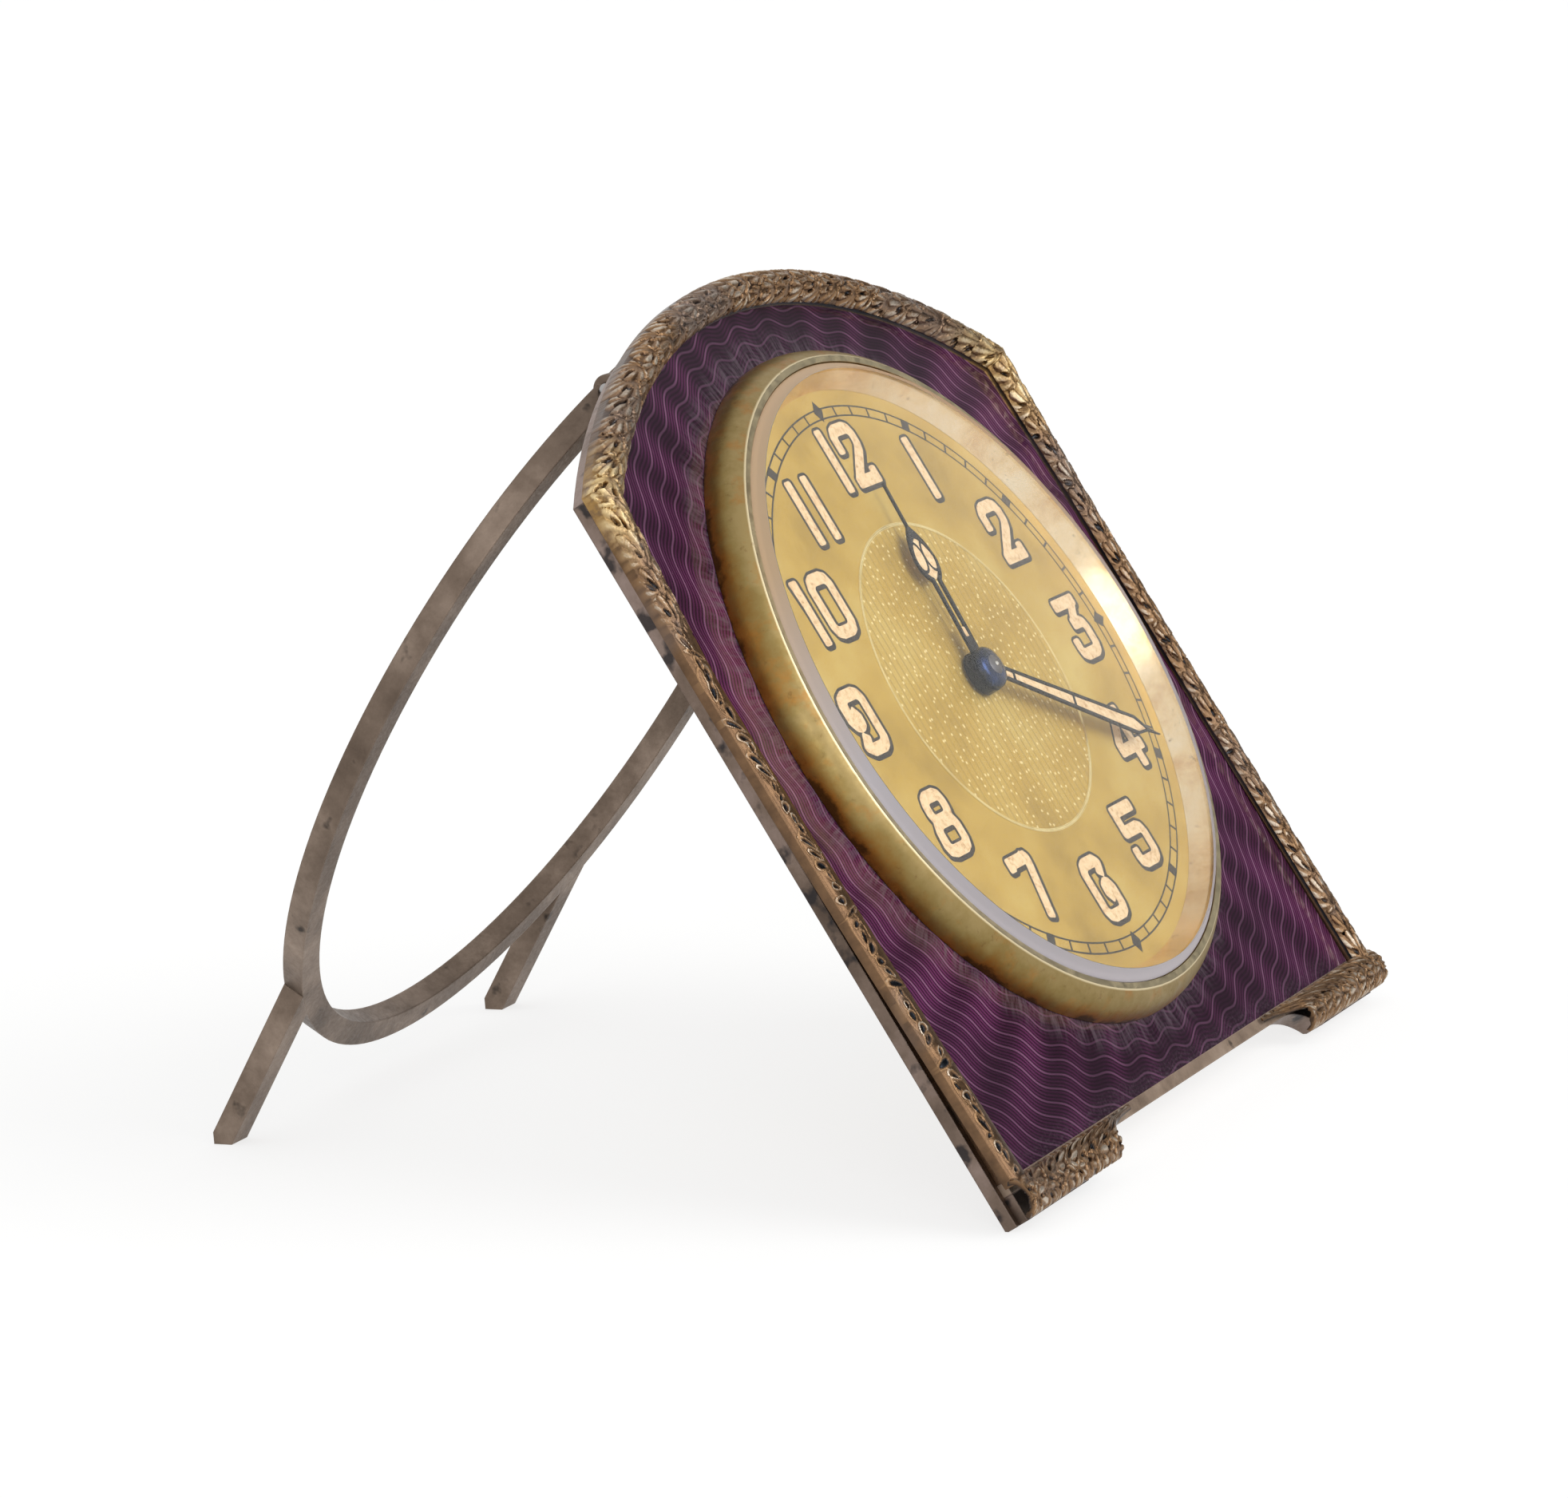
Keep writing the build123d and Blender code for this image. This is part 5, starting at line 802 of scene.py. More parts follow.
ROW_STEP = 1.05              # spacing of the small chased drops in a row
ROW_PLACE = 0.7              # share of the way over to the outer edge
ROW_GROUND = 0.56            # relief of the smooth metal beside a row
ROW_BLEND = 3.0              # length over which leaves give way to a row
ROW_PITS = 0.8               # depth of the drops
ROW_LEAN = 5                 # drops that lean one way before the next ones lean the other
FRAME_EVERY = 7              # drops from one leaf-shaped frame to the next
FRAME_FIRST = 3              # drops before the first frame
FRAME_SIZE = (2.3, 0.6)      # half length and half width of a frame
FRAME_RELIEF = 0.78


def chased_row(s, a, width, seed):
    """Relief of smooth metal with one row of small drops, some in leaf-shaped frames; the raised rims
    round the drops run high and are painted pale as glints.
    """
    chance = np.random.default_rng(seed)
    relief = np.full(np.broadcast(s, a).shape, ROW_GROUND)
    pits = np.zeros(relief.shape)
    for index in range(int(np.ptp(s) / ROW_STEP)):
        at = float(np.min(s)) + ROW_STEP * (index + chance.uniform(-0.2, 0.2))
        centre = (at, width * (ROW_PLACE + chance.uniform(-0.09, 0.09)))
        lean = (1 if index // ROW_LEAN % 2 else -1) * chance.uniform(-0.2, 1.3)
        size_along, size_across = chance.uniform(0.3, 0.95), chance.uniform(0.12, 0.3)
        if index % FRAME_EVERY == FRAME_FIRST:
            leaf = drop(s, a, centre, 0.1 * lean, *FRAME_SIZE)
            relief = np.where((leaf > 0) & (leaf < 0.5), FRAME_RELIEF, relief)
        # raised rim round each drop, high enough on the relief to be painted pale as a glint
        around = drop(s, a, centre, lean, 1.3 * size_along, 1.6 * size_across)
        relief = np.where((around > 0) & (around < 0.8), chance.uniform(0.74, 0.98), relief)
        pit = drop(s, a, centre, lean, size_along, size_across)
        pits = np.maximum(pits, chance.uniform(0.45, 1.0) * pit)
    return np.clip(relief + stipple(s, a, 0.5 * STIPPLE, 7.3) - ROW_PITS * pits, 0, 1)


MOULDING_STEP = 0.085        # mesh spacing along the chased work
MOULDING_AROUND = 54         # points over the rounded back
UPRIGHT_EDGE = 0.25          # plain edge at the foot of the half-round
EDGE_CARVING = 0.25          # share of the carving's depth at both edges
EDGE_RISE = 3.0              # how soon it deepens from there


def half_round(width, height):
    """Places across, heights and outward directions over half-round sections."""
    turn = np.linspace(np.pi, 0, MOULDING_AROUND)
    width, height = np.reshape(width, (-1, 1)), np.reshape(height, (-1, 1))
    across = width / 2 * (1 + np.cos(turn))
    up = UPRIGHT_EDGE + (height - UPRIGHT_EDGE) * np.sin(turn)
    return across, up, np.cos(turn), np.sin(turn)


def carve(s, width, height, sizes, seed, row_from=math.inf):
    """Places across, heights and relief of carved half-rounds: leaves, then a row from a length on."""
    across, up, out_x, out_z = half_round(width, height)
    arc = np.append(0, np.cumsum(np.hypot(np.diff(across[0]), np.diff(up[0]))))
    relief = chased_height(s[:, None], arc[None, :], arc[-1], sizes.leaf_step / MM, seed)
    if row_from < s[-1]:
        arc = np.append(0, np.cumsum(np.hypot(np.diff(across[-1]), np.diff(up[-1]))))
        row = chased_row(s[:, None], arc[None, :], arc[-1], seed)
        share = np.clip((s - row_from) / ROW_BLEND, 0, 1)[:, None]
        relief = relief + share * (row - relief)
    # the inner foot gets the lowest relief: sunk a little and painted dark as the shadow along the
    # moulding's inner edge
    relief[:, :2] = 0
    fade = np.clip(np.sin(np.linspace(0, np.pi, MOULDING_AROUND)) * EDGE_RISE, EDGE_CARVING, 1)
    depth = sizes.carving_depth / MM * np.reshape(np.minimum(height / MOULDING_HEIGHT, 1), (-1, 1))
    sunk = depth * (1 - relief) * fade
    return across - sunk * out_x, up - sunk * out_z, relief


class Plate:
    """Sizes of the plate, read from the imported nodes."""
    half_width = node_limits("right_band")[1][0]
    moulding_outer = node_limits("right_moulding")[1][0]
    apex = node_limits("arch_band")[1][1]
    shoulder = node_limits("right_band")[1][1]
    enamel = node_limits("enamel_panel")[1][2]
    board = node_limits("backing_board")[0][2]
    arch_radius = ((apex - shoulder) ** 2 + half_width ** 2) / (2 * (apex - shoulder))
    arch_centre = apex - arch_radius


MOULDING_WIDTH = 3.1         # the arch moulding, broader and higher than the plain one it stands for
MOULDING_HEIGHT = 1.9        # above the enamel
SIDE_WIDTH = 2.5             # the side mouldings, past the shoulders
SIDE_HEIGHTS = {"left": 0.85, "right": 1.25}     # there, above the place that they stand on
SIDE_OVERLAP = 0.6           # the lower end runs into the foot moulding
SIDE_TAPER = 17.0            # length over which a side moulding narrows from the shoulder
TAPER_CURVE = 0.8            # it narrows a little faster near the shoulder
ROW_FROM = {"left": 11.0, "right": math.inf}     # length past which a row of drops takes over from leaves
SEEDS = {"arch": 3, "left": 5, "right": 8, "left_foot": 12, "right_foot": 14}    # of the random chasing
WEB_TONE = 0.45              # relief value that colours the plain webs
ARCH_INSET = 0.55            # the arch moulding leaves the band in view
MOULDING_INSET = 0.15        # keeps the crests inside the plain moulding's outline
SKIRT = (0.5, 0.4)           # drop and wall of the outer edge, down towards the band
WEB = (0.65, 1.4)            # web under a moulding, inwards from the plate's edge
LIFT_CURVE = 2.5             # the moulding bends away mostly near its lower end
LIFTS = {"left": 1.0, "right": 0.3}      # how far the lower end of a side moulding stands off


def web_places(over, width):
    """Places across a moulding's underside from its outer edge to its inner one, at each station."""
    near, far = (np.full(len(width), -place) for place in WEB)
    return np.column_stack([over, over - SKIRT[1], over - SKIRT[1], near, near, far, far, over - width])


def moulding_sections(points, web_points, relief):
    """Closed sections from carved backs and the webs below them."""
    sections = np.concatenate([points, web_points], axis=1)
    padding = np.full((len(points), web_points.shape[1]), WEB_TONE)
    return sections, np.concatenate([relief, padding], axis=1)


def arch_moulding(material, sizes):
    """The chased moulding round the arch, mitred at both shoulders."""
    over = Plate.moulding_outer - Plate.half_width - ARCH_INSET
    half_angle = math.asin(Plate.half_width / Plate.arch_radius)
    length = 2 * half_angle * Plate.arch_radius
    s = np.linspace(0, length, int(length / MOULDING_STEP))
    across, up, relief = carve(s, MOULDING_WIDTH, MOULDING_HEIGHT, sizes, SEEDS["arch"])
    offset = across - MOULDING_WIDTH + over

    def place(offset, level):
        limit = np.arcsin((Plate.half_width + offset) / (Plate.arch_radius + offset))
        angle = (s[:, None] / length * 2 - 1) * limit
        radius = Plate.arch_radius + offset
        return np.stack([radius * np.sin(angle), Plate.arch_centre + radius * np.cos(angle),
                         np.broadcast_to(level, angle.shape)], axis=2)

    webs = web_places(np.full(len(s), over), np.full(len(s), MOULDING_WIDTH))
    floor = Plate.board - Plate.enamel
    levels = Plate.enamel + np.array([-SKIRT[0], -SKIRT[0], 0, 0, floor, floor, 0, 0])
    top = place(offset, Plate.enamel + up)
    below = place(webs, np.broadcast_to(levels, webs.shape))
    sections, relief = moulding_sections(top, below, relief)
    piece = new_piece("chased_arch", *skin(sections), "case", material, "chased_silver", relief)
    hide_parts("arch_moulding")


def side_moulding(side, material, sizes):
    """A chased side moulding; its lower end stands off the plate."""
    sign = -1 if side == "left" else 1
    low = node_limits(side + "_moulding")[0][1] - SIDE_OVERLAP
    length = Plate.shoulder - low
    s = np.linspace(0, length, int(length / MOULDING_STEP))
    share = np.clip(s / SIDE_TAPER, 0, 1) ** TAPER_CURVE
    width = MOULDING_WIDTH + (SIDE_WIDTH - MOULDING_WIDTH) * share
    height = MOULDING_HEIGHT + (SIDE_HEIGHTS[side] - MOULDING_HEIGHT) * share
    across, up, relief = carve(s, width, height, sizes, SEEDS[side], ROW_FROM[side])
    over = Plate.moulding_outer - Plate.half_width - ARCH_INSET + (ARCH_INSET - MOULDING_INSET) * share
    offset = across + (over - width)[:, None]
    lift = LIFTS[side] * (s / length) ** LIFT_CURVE

    def place(offset, level):
        end = Plate.arch_centre + np.sqrt(
            (Plate.arch_radius + offset) ** 2 - (Plate.half_width + offset) ** 2)
        y = end + (low - end) * s[:, None] / length
        return np.stack([sign * (Plate.half_width + offset), y, np.broadcast_to(level, y.shape)], axis=2)

    webs = web_places(over, width)
    foot = Plate.enamel + lift
    floor = np.full(len(s), Plate.board)
    skirt = foot - SKIRT[0]
    levels = np.stack([skirt, skirt, foot, foot, floor, floor, foot, foot], axis=1)
    top = place(offset, foot[:, None] + up)
    sections, relief = moulding_sections(top, place(webs, levels), relief)
    piece = new_piece("chased_" + side, *skin(sections), "case", material, "chased_silver", relief)
    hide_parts(side + "_moulding")


FOOT_WALL = 0.3              # metal of the hollow foot mouldings
FOOT_INSET = 0.06            # keeps the crests inside the plain moulding's outline
HOLLOW_TONE = 0.25           # relief value that colours the inside of the feet
FOOT_TAIL = 6.5              # thin strip that runs on along the rail
FOOT_SCOOP = (0.16, 0.3)     # shares of the back where the scoop below the tail starts, and that it takes
SCOOP_CURVE = 0.6
TAIL_LOW = 0.35              # share of the tail that stays low
TAIL_HEIGHT = 0.25           # its height there, as a share of the foot's
FOOT_LEAST = (0.12, 0.02)    # least height of the back and of the hollow under it


def foot_moulding(side, material, sizes):
    """A hollow chased moulding over a foot, scooped away below its thin tail."""
    sign = -1 if side == "left" else 1
    limits = node_limits(side + "_foot_moulding")
    ends = sorted(abs(limit[0]) for limit in limits)
    top, bottom = limits[1][1], limits[0][1]
    width = top - bottom
    base = Plate.enamel + LIFTS[side]
    height = limits[1][2] - base - FOOT_INSET
    toe, end = ends[0], ends[1]
    s = np.linspace(0, end - toe, int((end - toe) / MOULDING_STEP))
    across, up, relief = carve(s, width, height, sizes, SEEDS[side + "_foot"])
    turn = np.linspace(0, 1, MOULDING_AROUND)
    scoop = FOOT_TAIL * np.clip((turn - FOOT_SCOOP[0]) / FOOT_SCOOP[1], 0, 1) ** SCOOP_CURVE
    share = s[:, None] / s[-1]
    x = toe + scoop + (end - toe - scoop) * share
    swell = np.clip((x - toe - TAIL_LOW * FOOT_TAIL) / ((1 - TAIL_LOW) * FOOT_TAIL), TAIL_HEIGHT, 1)
    back = np.maximum(up * swell, FOOT_LEAST[0])
    under = np.maximum((up - FOOT_WALL) * swell, FOOT_LEAST[1])
    outer = np.stack([sign * x, top - across, base + back], axis=2)
    shrink = 1 - 2 * FOOT_WALL / width
    inner_y = (top - across - (top + bottom) / 2) * shrink + (top + bottom) / 2
    inner = np.stack([sign * x, inner_y, base + under], axis=2)[:, ::-1]
    sections = np.concatenate([outer, inner], axis=1)
    hollow = np.full_like(relief, HOLLOW_TONE)
    vertices, faces = skin(sections)
    around = 2 * MOULDING_AROUND
    last = (len(s) - 1) * around
    faces = faces[:-2]
    for first in (0, last):
        for j in range(MOULDING_AROUND - 1):
            k = around - 1 - j
            faces.append((first + j, first + j + 1, first + k - 1, first + k))
    piece = new_piece(f"chased_{side}_foot", vertices, faces, "case", material, "chased_silver",
                      np.concatenate([relief, hollow], axis=1))
    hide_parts(side + "_foot_moulding")


# Dial work
def loop(*right):
    """A closed stroke from its right half, top to bottom."""
    return (*right, *((-x, y) for x, y in reversed(right)))


# Strokes about the middle of each digit; the six turned upside down is the nine
HOOK = ((1.1, 1.5), (1.42, 2.05), (0.95, 2.42), (-0.75, 2.42), (-1.3, 2.2), (-1.58, 1.7), (-1.58, -1.7),
        (-1.3, -2.2), (-0.75, -2.42), (0.9, -2.42), (1.38, -2.2), (1.58, -1.75), (1.58, -0.35),
        (1.3, 0.15), (0.85, 0.25), (0.45, 0.05), (0.4, -0.45), (0.65, -0.75))
DIGITS = {
    "0": (loop((0, 2.42), (0.75, 2.42), (1.3, 2.2), (1.58, 1.65), (1.58, -1.65), (1.3, -2.2),
               (0.75, -2.42)),),
    "1": (((0, -2.42), (0, 2.42)),),
    "2": (((-1.58, 0.85), (-1.58, 1.8), (-1.3, 2.25), (-0.8, 2.42), (0.8, 2.42), (1.32, 2.2),
           (1.58, 1.7), (1.58, 0.9), (1.35, 0.35), (-1.2, -2.1)),
          ((-1.4, -2.42), (1.6, -2.42)), ((1.6, -2.42), (1.6, -1.95))),
    "3": (((-1.58, 2.42), (1.55, 2.42)), ((1.3, 2.2), (0.2, 0.8)),
          ((-0.1, 0.45), (0.9, 0.45), (1.38, 0.2), (1.58, -0.3), (1.58, -1.7), (1.35, -2.2),
           (0.85, -2.42), (-0.95, -2.42), (-1.45, -2.2), (-1.58, -1.75), (-1.58, -1.35))),
    "4": (((0.85, -2.42), (0.85, 2.35)), ((0.75, 2.3), (0.35, 2.3), (-1.7, -0.45), (-1.7, -1.0)),
          ((-1.7, -1.0), (1.85, -1.0))),
    "5": (((1.45, 2.42), (-1.58, 2.42)), ((-1.58, 2.42), (-1.58, 0.6)),
          ((-1.4, 0.5), (0.9, 0.5), (1.38, 0.28), (1.58, -0.2), (1.58, -1.7), (1.35, -2.2),
           (0.85, -2.42), (-0.95, -2.42), (-1.45, -2.2), (-1.58, -1.8), (-1.58, -1.5))),
    "6": (HOOK,),
    "7": (((-1.6, 2.42), (1.1, 2.42)), ((-1.6, 2.42), (-1.6, 2.2)),
          ((1.0, 2.42), (1.42, 2.25), (1.35, 1.7), (0.2, -2.42))),
    "8": (loop((0, 2.42), (0.75, 2.42), (1.25, 2.2), (1.45, 1.7), (1.45, 1.0), (1.2, 0.5), (0.75, 0.3)),
          loop((0, 0.15), (0.85, 0.15), (1.4, -0.1), (1.62, -0.6), (1.62, -1.7), (1.4, -2.2),
               (0.85, -2.42))),
    "9": (tuple((-x, -y) for x, y in HOOK),),
}
# Sideways places of the digits in the numerals that have two
DIGIT_PLACES = {"10": (-2.52, 1.25), "11": (-1.42, 1.42), "12": (-2.62, 1.07)}
# Middles of the numerals, each a little off its true place
NUMERAL_PLACES = {
    12: (0.5, 20.95), 1: (11.0, 17.85), 2: (17.8, 10.3), 3: (20.9, 0.1), 4: (17.8, -10.0),
    5: (10.1, -17.6), 6: (-0.2, -20.2), 7: (-10.6, -17.3), 8: (-18.0, -9.5), 9: (-20.95, 0.55),
    10: (-16.8, 10.1), 11: (-9.9, 17.8)}
DIGIT_REACH = (3.2, 3.9)     # half width and half height of the box meshed for a digit
CORNER = 0.3                 # rounding of the painted corners
EDGE_SHIFT = (0.07, -0.09)   # the dark edge is heavier to the right and below
PAINT_CELL = 0.1             # mesh spacing of painted shapes
PRINT_HEIGHT = 0.015
TICK_SHARE = 0.75            # half width of a minute stroke, as a share of a printed line
SQUARE = (0.1, 0.52)         # overhang past the circles and half width of the square at an hour
DIAMOND = ((24.3, 0.0), (25.3, 0.75), (26.3, 0.0), (25.3, -0.75))    # at the quarters, outwards and aside


def numeral_shapes(sizes, grow, shift, low, high, edge):
    """Every numeral as one set of soft-edged pads, grown all round by an amount."""
    half = sizes.stroke / MM / 2 - CORNER
    shapes = []
    for hour, (x, y) in NUMERAL_PLACES.items():
        text = str(hour)
        for digit, aside in zip(text, DIGIT_PLACES.get(text, (0.0,))):
            paths = DIGITS[digit]

            def distance(px, py, paths=paths, at=(x + aside + shift[0], y + shift[1])):
                return bars_distance(px - at[0], py - at[1], paths, half) - CORNER - grow

            wide, tall = DIGIT_REACH
            box = (x + aside - wide, x + aside + wide, y - tall, y + tall)
            shapes.append(raised_shape(distance, box, PAINT_CELL, low, high, edge))
    return join(*shapes)


def track_shapes(sizes):
    """Minute track: two circles, minute strokes, squares at the hours and four diamonds."""
    inner, outer = sizes.track_inner / MM, sizes.track_outer / MM
    line = sizes.track_line / MM
    tick = TICK_SHARE * line
    shapes = [flat_ring(r - line / 2, r + line / 2, 0.0, PRINT_HEIGHT) for r in (inner, outer)]
    outlines = []
    for minute in range(60):
        turn = math.radians(90 - 6 * minute)
        out = (math.cos(turn), math.sin(turn))
        side = (-out[1], out[0])
        if minute % 15 == 0:
            corners = DIAMOND
        else:
            over, wide = (0.0, tick) if minute % 5 else SQUARE
            near, far = inner - over, outer + over
            corners = ((near, wide), (far, wide), (far, -wide), (near, -wide))
        outlines.append([(r * out[0] + w * side[0], r * out[1] + w * side[1]) for r, w in corners])
    shapes.append(prisms(outlines, 0.0, PRINT_HEIGHT))
    return join(*shapes)


# Operators
class CLOCK_OT_plate(bpy.types.Operator):
    """Tarnished silver on the plate, bands, rail and feet, and the board behind the enamel"""
    bl_idname = "clock.plate"
    bl_label = "Plate"

    def execute(self, context):
        colours = context.scene.clock_colours
        dress(tarnished_silver(colours), "arch_band", "back_plate")
        dress(rail_silver(), "base_rail")
        dress(edge_silver(), "left_band", "right_band", "left_foot", "right_foot")
        dress(pressed_board(), "backing_board")
        return {"FINISHED"}


class CLOCK_OT_enamel(bpy.types.Operator):
    """Engine-turned enamel on the front panel"""
    bl_idname = "clock.enamel"
    bl_label = "Enamel"

    def execute(self, context):
        scene = context.scene
        dress(engine_turned_enamel(scene.clock_colours, scene.clock_sizes), "enamel_panel")
        return {"FINISHED"}


GILDING = ((-1, 7.0), (1, 9.0))      # side, and how far old gilding reaches from its shoulder


class CLOCK_OT_mouldings(bpy.types.Operator):
    """Chased mouldings round the rim and over the feet"""
    bl_idname = "clock.mouldings"
    bl_label = "Mouldings"

    def execute(self, context):
        sizes = context.scene.clock_sizes
        shoulders = [(DIAL @ Vector((side * Plate.half_width, Plate.shoulder, 0)), reach)
                     for side, reach in GILDING]
        material = chased_silver(context.scene.clock_colours, shoulders)
        arch_moulding(material, sizes)
        for side in ("left", "right"):
            side_moulding(side, material, sizes)
            foot_moulding(side, material, sizes)
        return {"FINISHED"}


GLASS_BEVEL = 0.85           # ground bevel, as wide as it is high
GLASS_EDGE = 0.12            # upright edge below the bevel
GLASS_SEAT = 1.225           # rim that rests on the bezel
GLASS_THICKNESS = 1.0
GLASS_SHARP = 25.0           # degrees, so that the bevel keeps its edges


class CLOCK_OT_bezel(bpy.types.Operator):
    """Gilt bezel and domed glass"""
    bl_idname = "clock.bezel"
    bl_label = "Bezel and glass"

    def execute(self, context):
        high = node_limits("bezel")[1]
        dress(gilt_bezel(context.scene.clock_colours, (Plate.enamel, high[2])), "bezel")
        rim_low, crown = (limit[2] for limit in node_limits("crystal"))
        radius = node_limits("crystal")[1][0]
        bevel = radius - GLASS_BEVEL
        edge = rim_low + GLASS_EDGE
        outside = dome(bevel, crown, edge + GLASS_BEVEL)
        inside = dome(radius - GLASS_SEAT, crown - GLASS_THICKNESS, rim_low)
        profile = [*outside, (radius, edge), (radius, rim_low), *reversed(inside)]
        glass = new_piece("domed_crystal", *turned(profile), "case", watch_glass(bevel), "crystal",
                          sharp=GLASS_SHARP)
        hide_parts("crystal")
        return {"FINISHED"}


CIRCLE_LINE = (0.15, 0.03)   # half width and height of the bright circle
EDGE_PAD = (0.0, 0.02, 0.08)     # foot, top and width of the soft rim of the numerals' dark edges
PAINT_FOOT = 0.01
PAINT_RIM = 0.3              # width of the soft rim of the paint


class CLOCK_OT_dial(bpy.types.Operator):
    """Grained dial with its bright circle, printed track and painted numerals"""
    bl_idname = "clock.dial"
    bl_label = "Dial"

    def execute(self, context):
        sizes = context.scene.clock_sizes
        colours = context.scene.clock_colours
        dress(grained_gilt(colours, sizes), "dial")
        ink = dial_print(colours)
        bright = plain_gilt("bright_cut_gilt", "#f4e2a4", "#d9c07a", 0.3)
        ring = sizes.centre_circle / MM
        half, height = CIRCLE_LINE
        circle = flat_ring(ring - half, ring + half, 0.0, height)
        new_piece("dial_circle", *circle, "case", bright, "dial")
        new_piece("minute_track", *track_shapes(sizes), "case", ink, "dial")
        edges = numeral_shapes(sizes, sizes.numeral_edge / MM, EDGE_SHIFT, *EDGE_PAD)
        new_piece("numeral_edges", *edges, "case", ink, "dial")
        paint = luminous_paint(colours)
        strokes = numeral_shapes(sizes, 0.0, (0, 0), PAINT_FOOT, sizes.paint_height / MM, PAINT_RIM)
        new_piece("numerals", *strokes, "case", paint, "dial")
        return {"FINISHED"}


def hand_turn(points):
    """Turn that takes a hand at twelve to where it points."""
    tip = points[np.argmax(np.hypot(points[:, 0], points[:, 1]))]
    return math.atan2(tip[1], tip[0]) - math.pi / 2


WINDOW_CELL = 0.09           # mesh spacing of the paint in the hands
WINDOW_MARGIN = 0.2          # meshed round a window
WINDOW_RIM = 0.25            # width of the soft rim of the paint
BACK_GAP = 0.04              # the paint stands in from the hand's back and face
FACE_GAP = 0.03


def hand_paint(name, node, body, outline, material):
    """Luminous paint held in the window of a hand, a little below its face."""
    points = node_points(node)
    turn = hand_turn(points)
    outer = points[np.hypot(points[:, 0], points[:, 1]) > outline[0][1] + 1]
    face, back = outer[:, 2].max(), outer[:, 2].min()
    xs, ys = zip(*outline)

    def distance(x, y):
        return outline_distance(x, y, outline)

    box = (min(xs) - WINDOW_MARGIN, max(xs) + WINDOW_MARGIN,
           min(ys) - WINDOW_MARGIN, max(ys) + WINDOW_MARGIN)
    vertices, faces = raised_shape(distance, box, WINDOW_CELL, back + BACK_GAP, face - FACE_GAP,
                                   WINDOW_RIM)
    spin = np.array(Matrix.Rotation(turn, 3, "Z"))
    new_piece(name, np.array(vertices) @ spin.T, faces, body, material, "dial")


def both_sides(edge):
    """A closed outline from its right edge, from the inner end outwards."""
    return [*edge, *((-half, along) for half, along in reversed(edge) if half)]


# Boss on the minute hand, its washer and its pin, as radii and heights
BOSS = ((0, 2.0), (0.9, 2.0), (1.4, 1.93), (1.72, 1.78), (1.88, 1.55), (1.9, 1.35), (0, 1.35))
BOSS_WASHER = ((0, 2.08), (0.78, 2.08), (0.86, 2.03), (0.86, 1.95), (0, 1.95))
BOSS_PIN = ((0, 2.28), (0.13, 2.26), (0.2, 2.18), (0.2, 2.0), (0, 2.0))
BOSS_FACETS = 72
# Windows of the hands as half width and distance from the middle, a little under the metal all round
HOUR_WINDOW = ((0.35, 8.6), (0.95, 9.1), (1.42, 9.8), (1.55, 10.4), (1.4, 11.0), (1.0, 11.7),
               (0.45, 12.3), (0.0, 12.55))
HOUR_STEM_PAINT = ((0.38, 3.1), (0.38, 4.1))
MINUTE_WINDOW = ((0.36, 1.6), (0.68, 20.1), (0.0, 21.7))


class CLOCK_OT_hands(bpy.types.Operator):
    """Blued hands with luminous paint in their windows"""
    bl_idname = "clock.hands"
    bl_label = "Hands"

    def execute(self, context):
        colours = context.scene.clock_colours
        blued = polished_steel("blued_steel", colours.blued, "#1a1a20")
        dress(blued, "hour_hand", "minute_hand", "pillar_screws", "mainspring", "hairspring")
        boss = polished_steel("blued_steel_boss", "#34446e", "#1f2228", 0.2)
        washer = polished_steel("grey_steel_washer", "#75747a", "#4d4a4a", 0.34)
        pin = polished_steel("bright_steel_pin", "#e4e2de", "#b9b6b0", 0.15)
        for name, profile, metal in (("minute_boss", BOSS, boss), ("boss_washer", BOSS_WASHER, washer),
                                     ("boss_pin", BOSS_PIN, pin)):
            new_piece(name, *turned(profile, BOSS_FACETS), "centre", metal, "blued_steel")
        paint = luminous_paint(colours)
        hand_paint("hour_paint", "hour_hand", "hour", both_sides(HOUR_WINDOW), paint)
        hand_paint("hour_stem_paint", "hour_hand", "hour", both_sides(HOUR_STEM_PAINT), paint)
        hand_paint("minute_paint", "minute_hand", "centre", both_sides(MINUTE_WINDOW), paint)
        return {"FINISHED"}


class CLOCK_OT_movement(bpy.types.Operator):
    """Brass and steel of the movement, its drum, key and knob"""
    bl_idname = "clock.movement"
    bl_label = "Movement"

    def execute(self, context):
        colours = context.scene.clock_colours
        brass = plain_gilt("turned_brass", colours.brass, "#8a6a30", 0.36)
        steel = polished_steel("polished_steel", colours.steel, "#77736f")
        gilt = plain_gilt("gilt_brass", colours.gilt, "#8c6f3c", 0.3)
        dress(brass, "case_cup", "retaining_ring", "dial_spacer", "main_plate", "top_plate", "pillars",
              "hour_wheel", "minute_wheel", "centre_wheel", "intermediate_wheel", "third_wheel",
              "fourth_wheel", "barrel", "barrel_cover", "balance_wheel")
        dress(steel, "cannon_pinion", "centre_arbor", "intermediate_arbor", "third_arbor", "fourth_arbor",
              "escape_arbor", "escape_wheel", "barrel_arbor", "ratchet_wheel", "click", "pallet_lever",
              "balance_staff", "hinge_pin")
        dress(gilt, "back_cover", "winding_key", "set_knob")
        return {"FINISHED"}


class CLOCK_OT_strut(bpy.types.Operator):
    """Dull silver bar of the strut and its hinge"""
    bl_idname = "clock.strut"
    bl_label = "Strut"

    def execute(self, context):
        silver = strut_silver(context.scene.clock_colours)
        dress(silver, "strut_hoop", "left_strut_leg", "right_strut_leg", "hinge_knuckle")
        return {"FINISHED"}


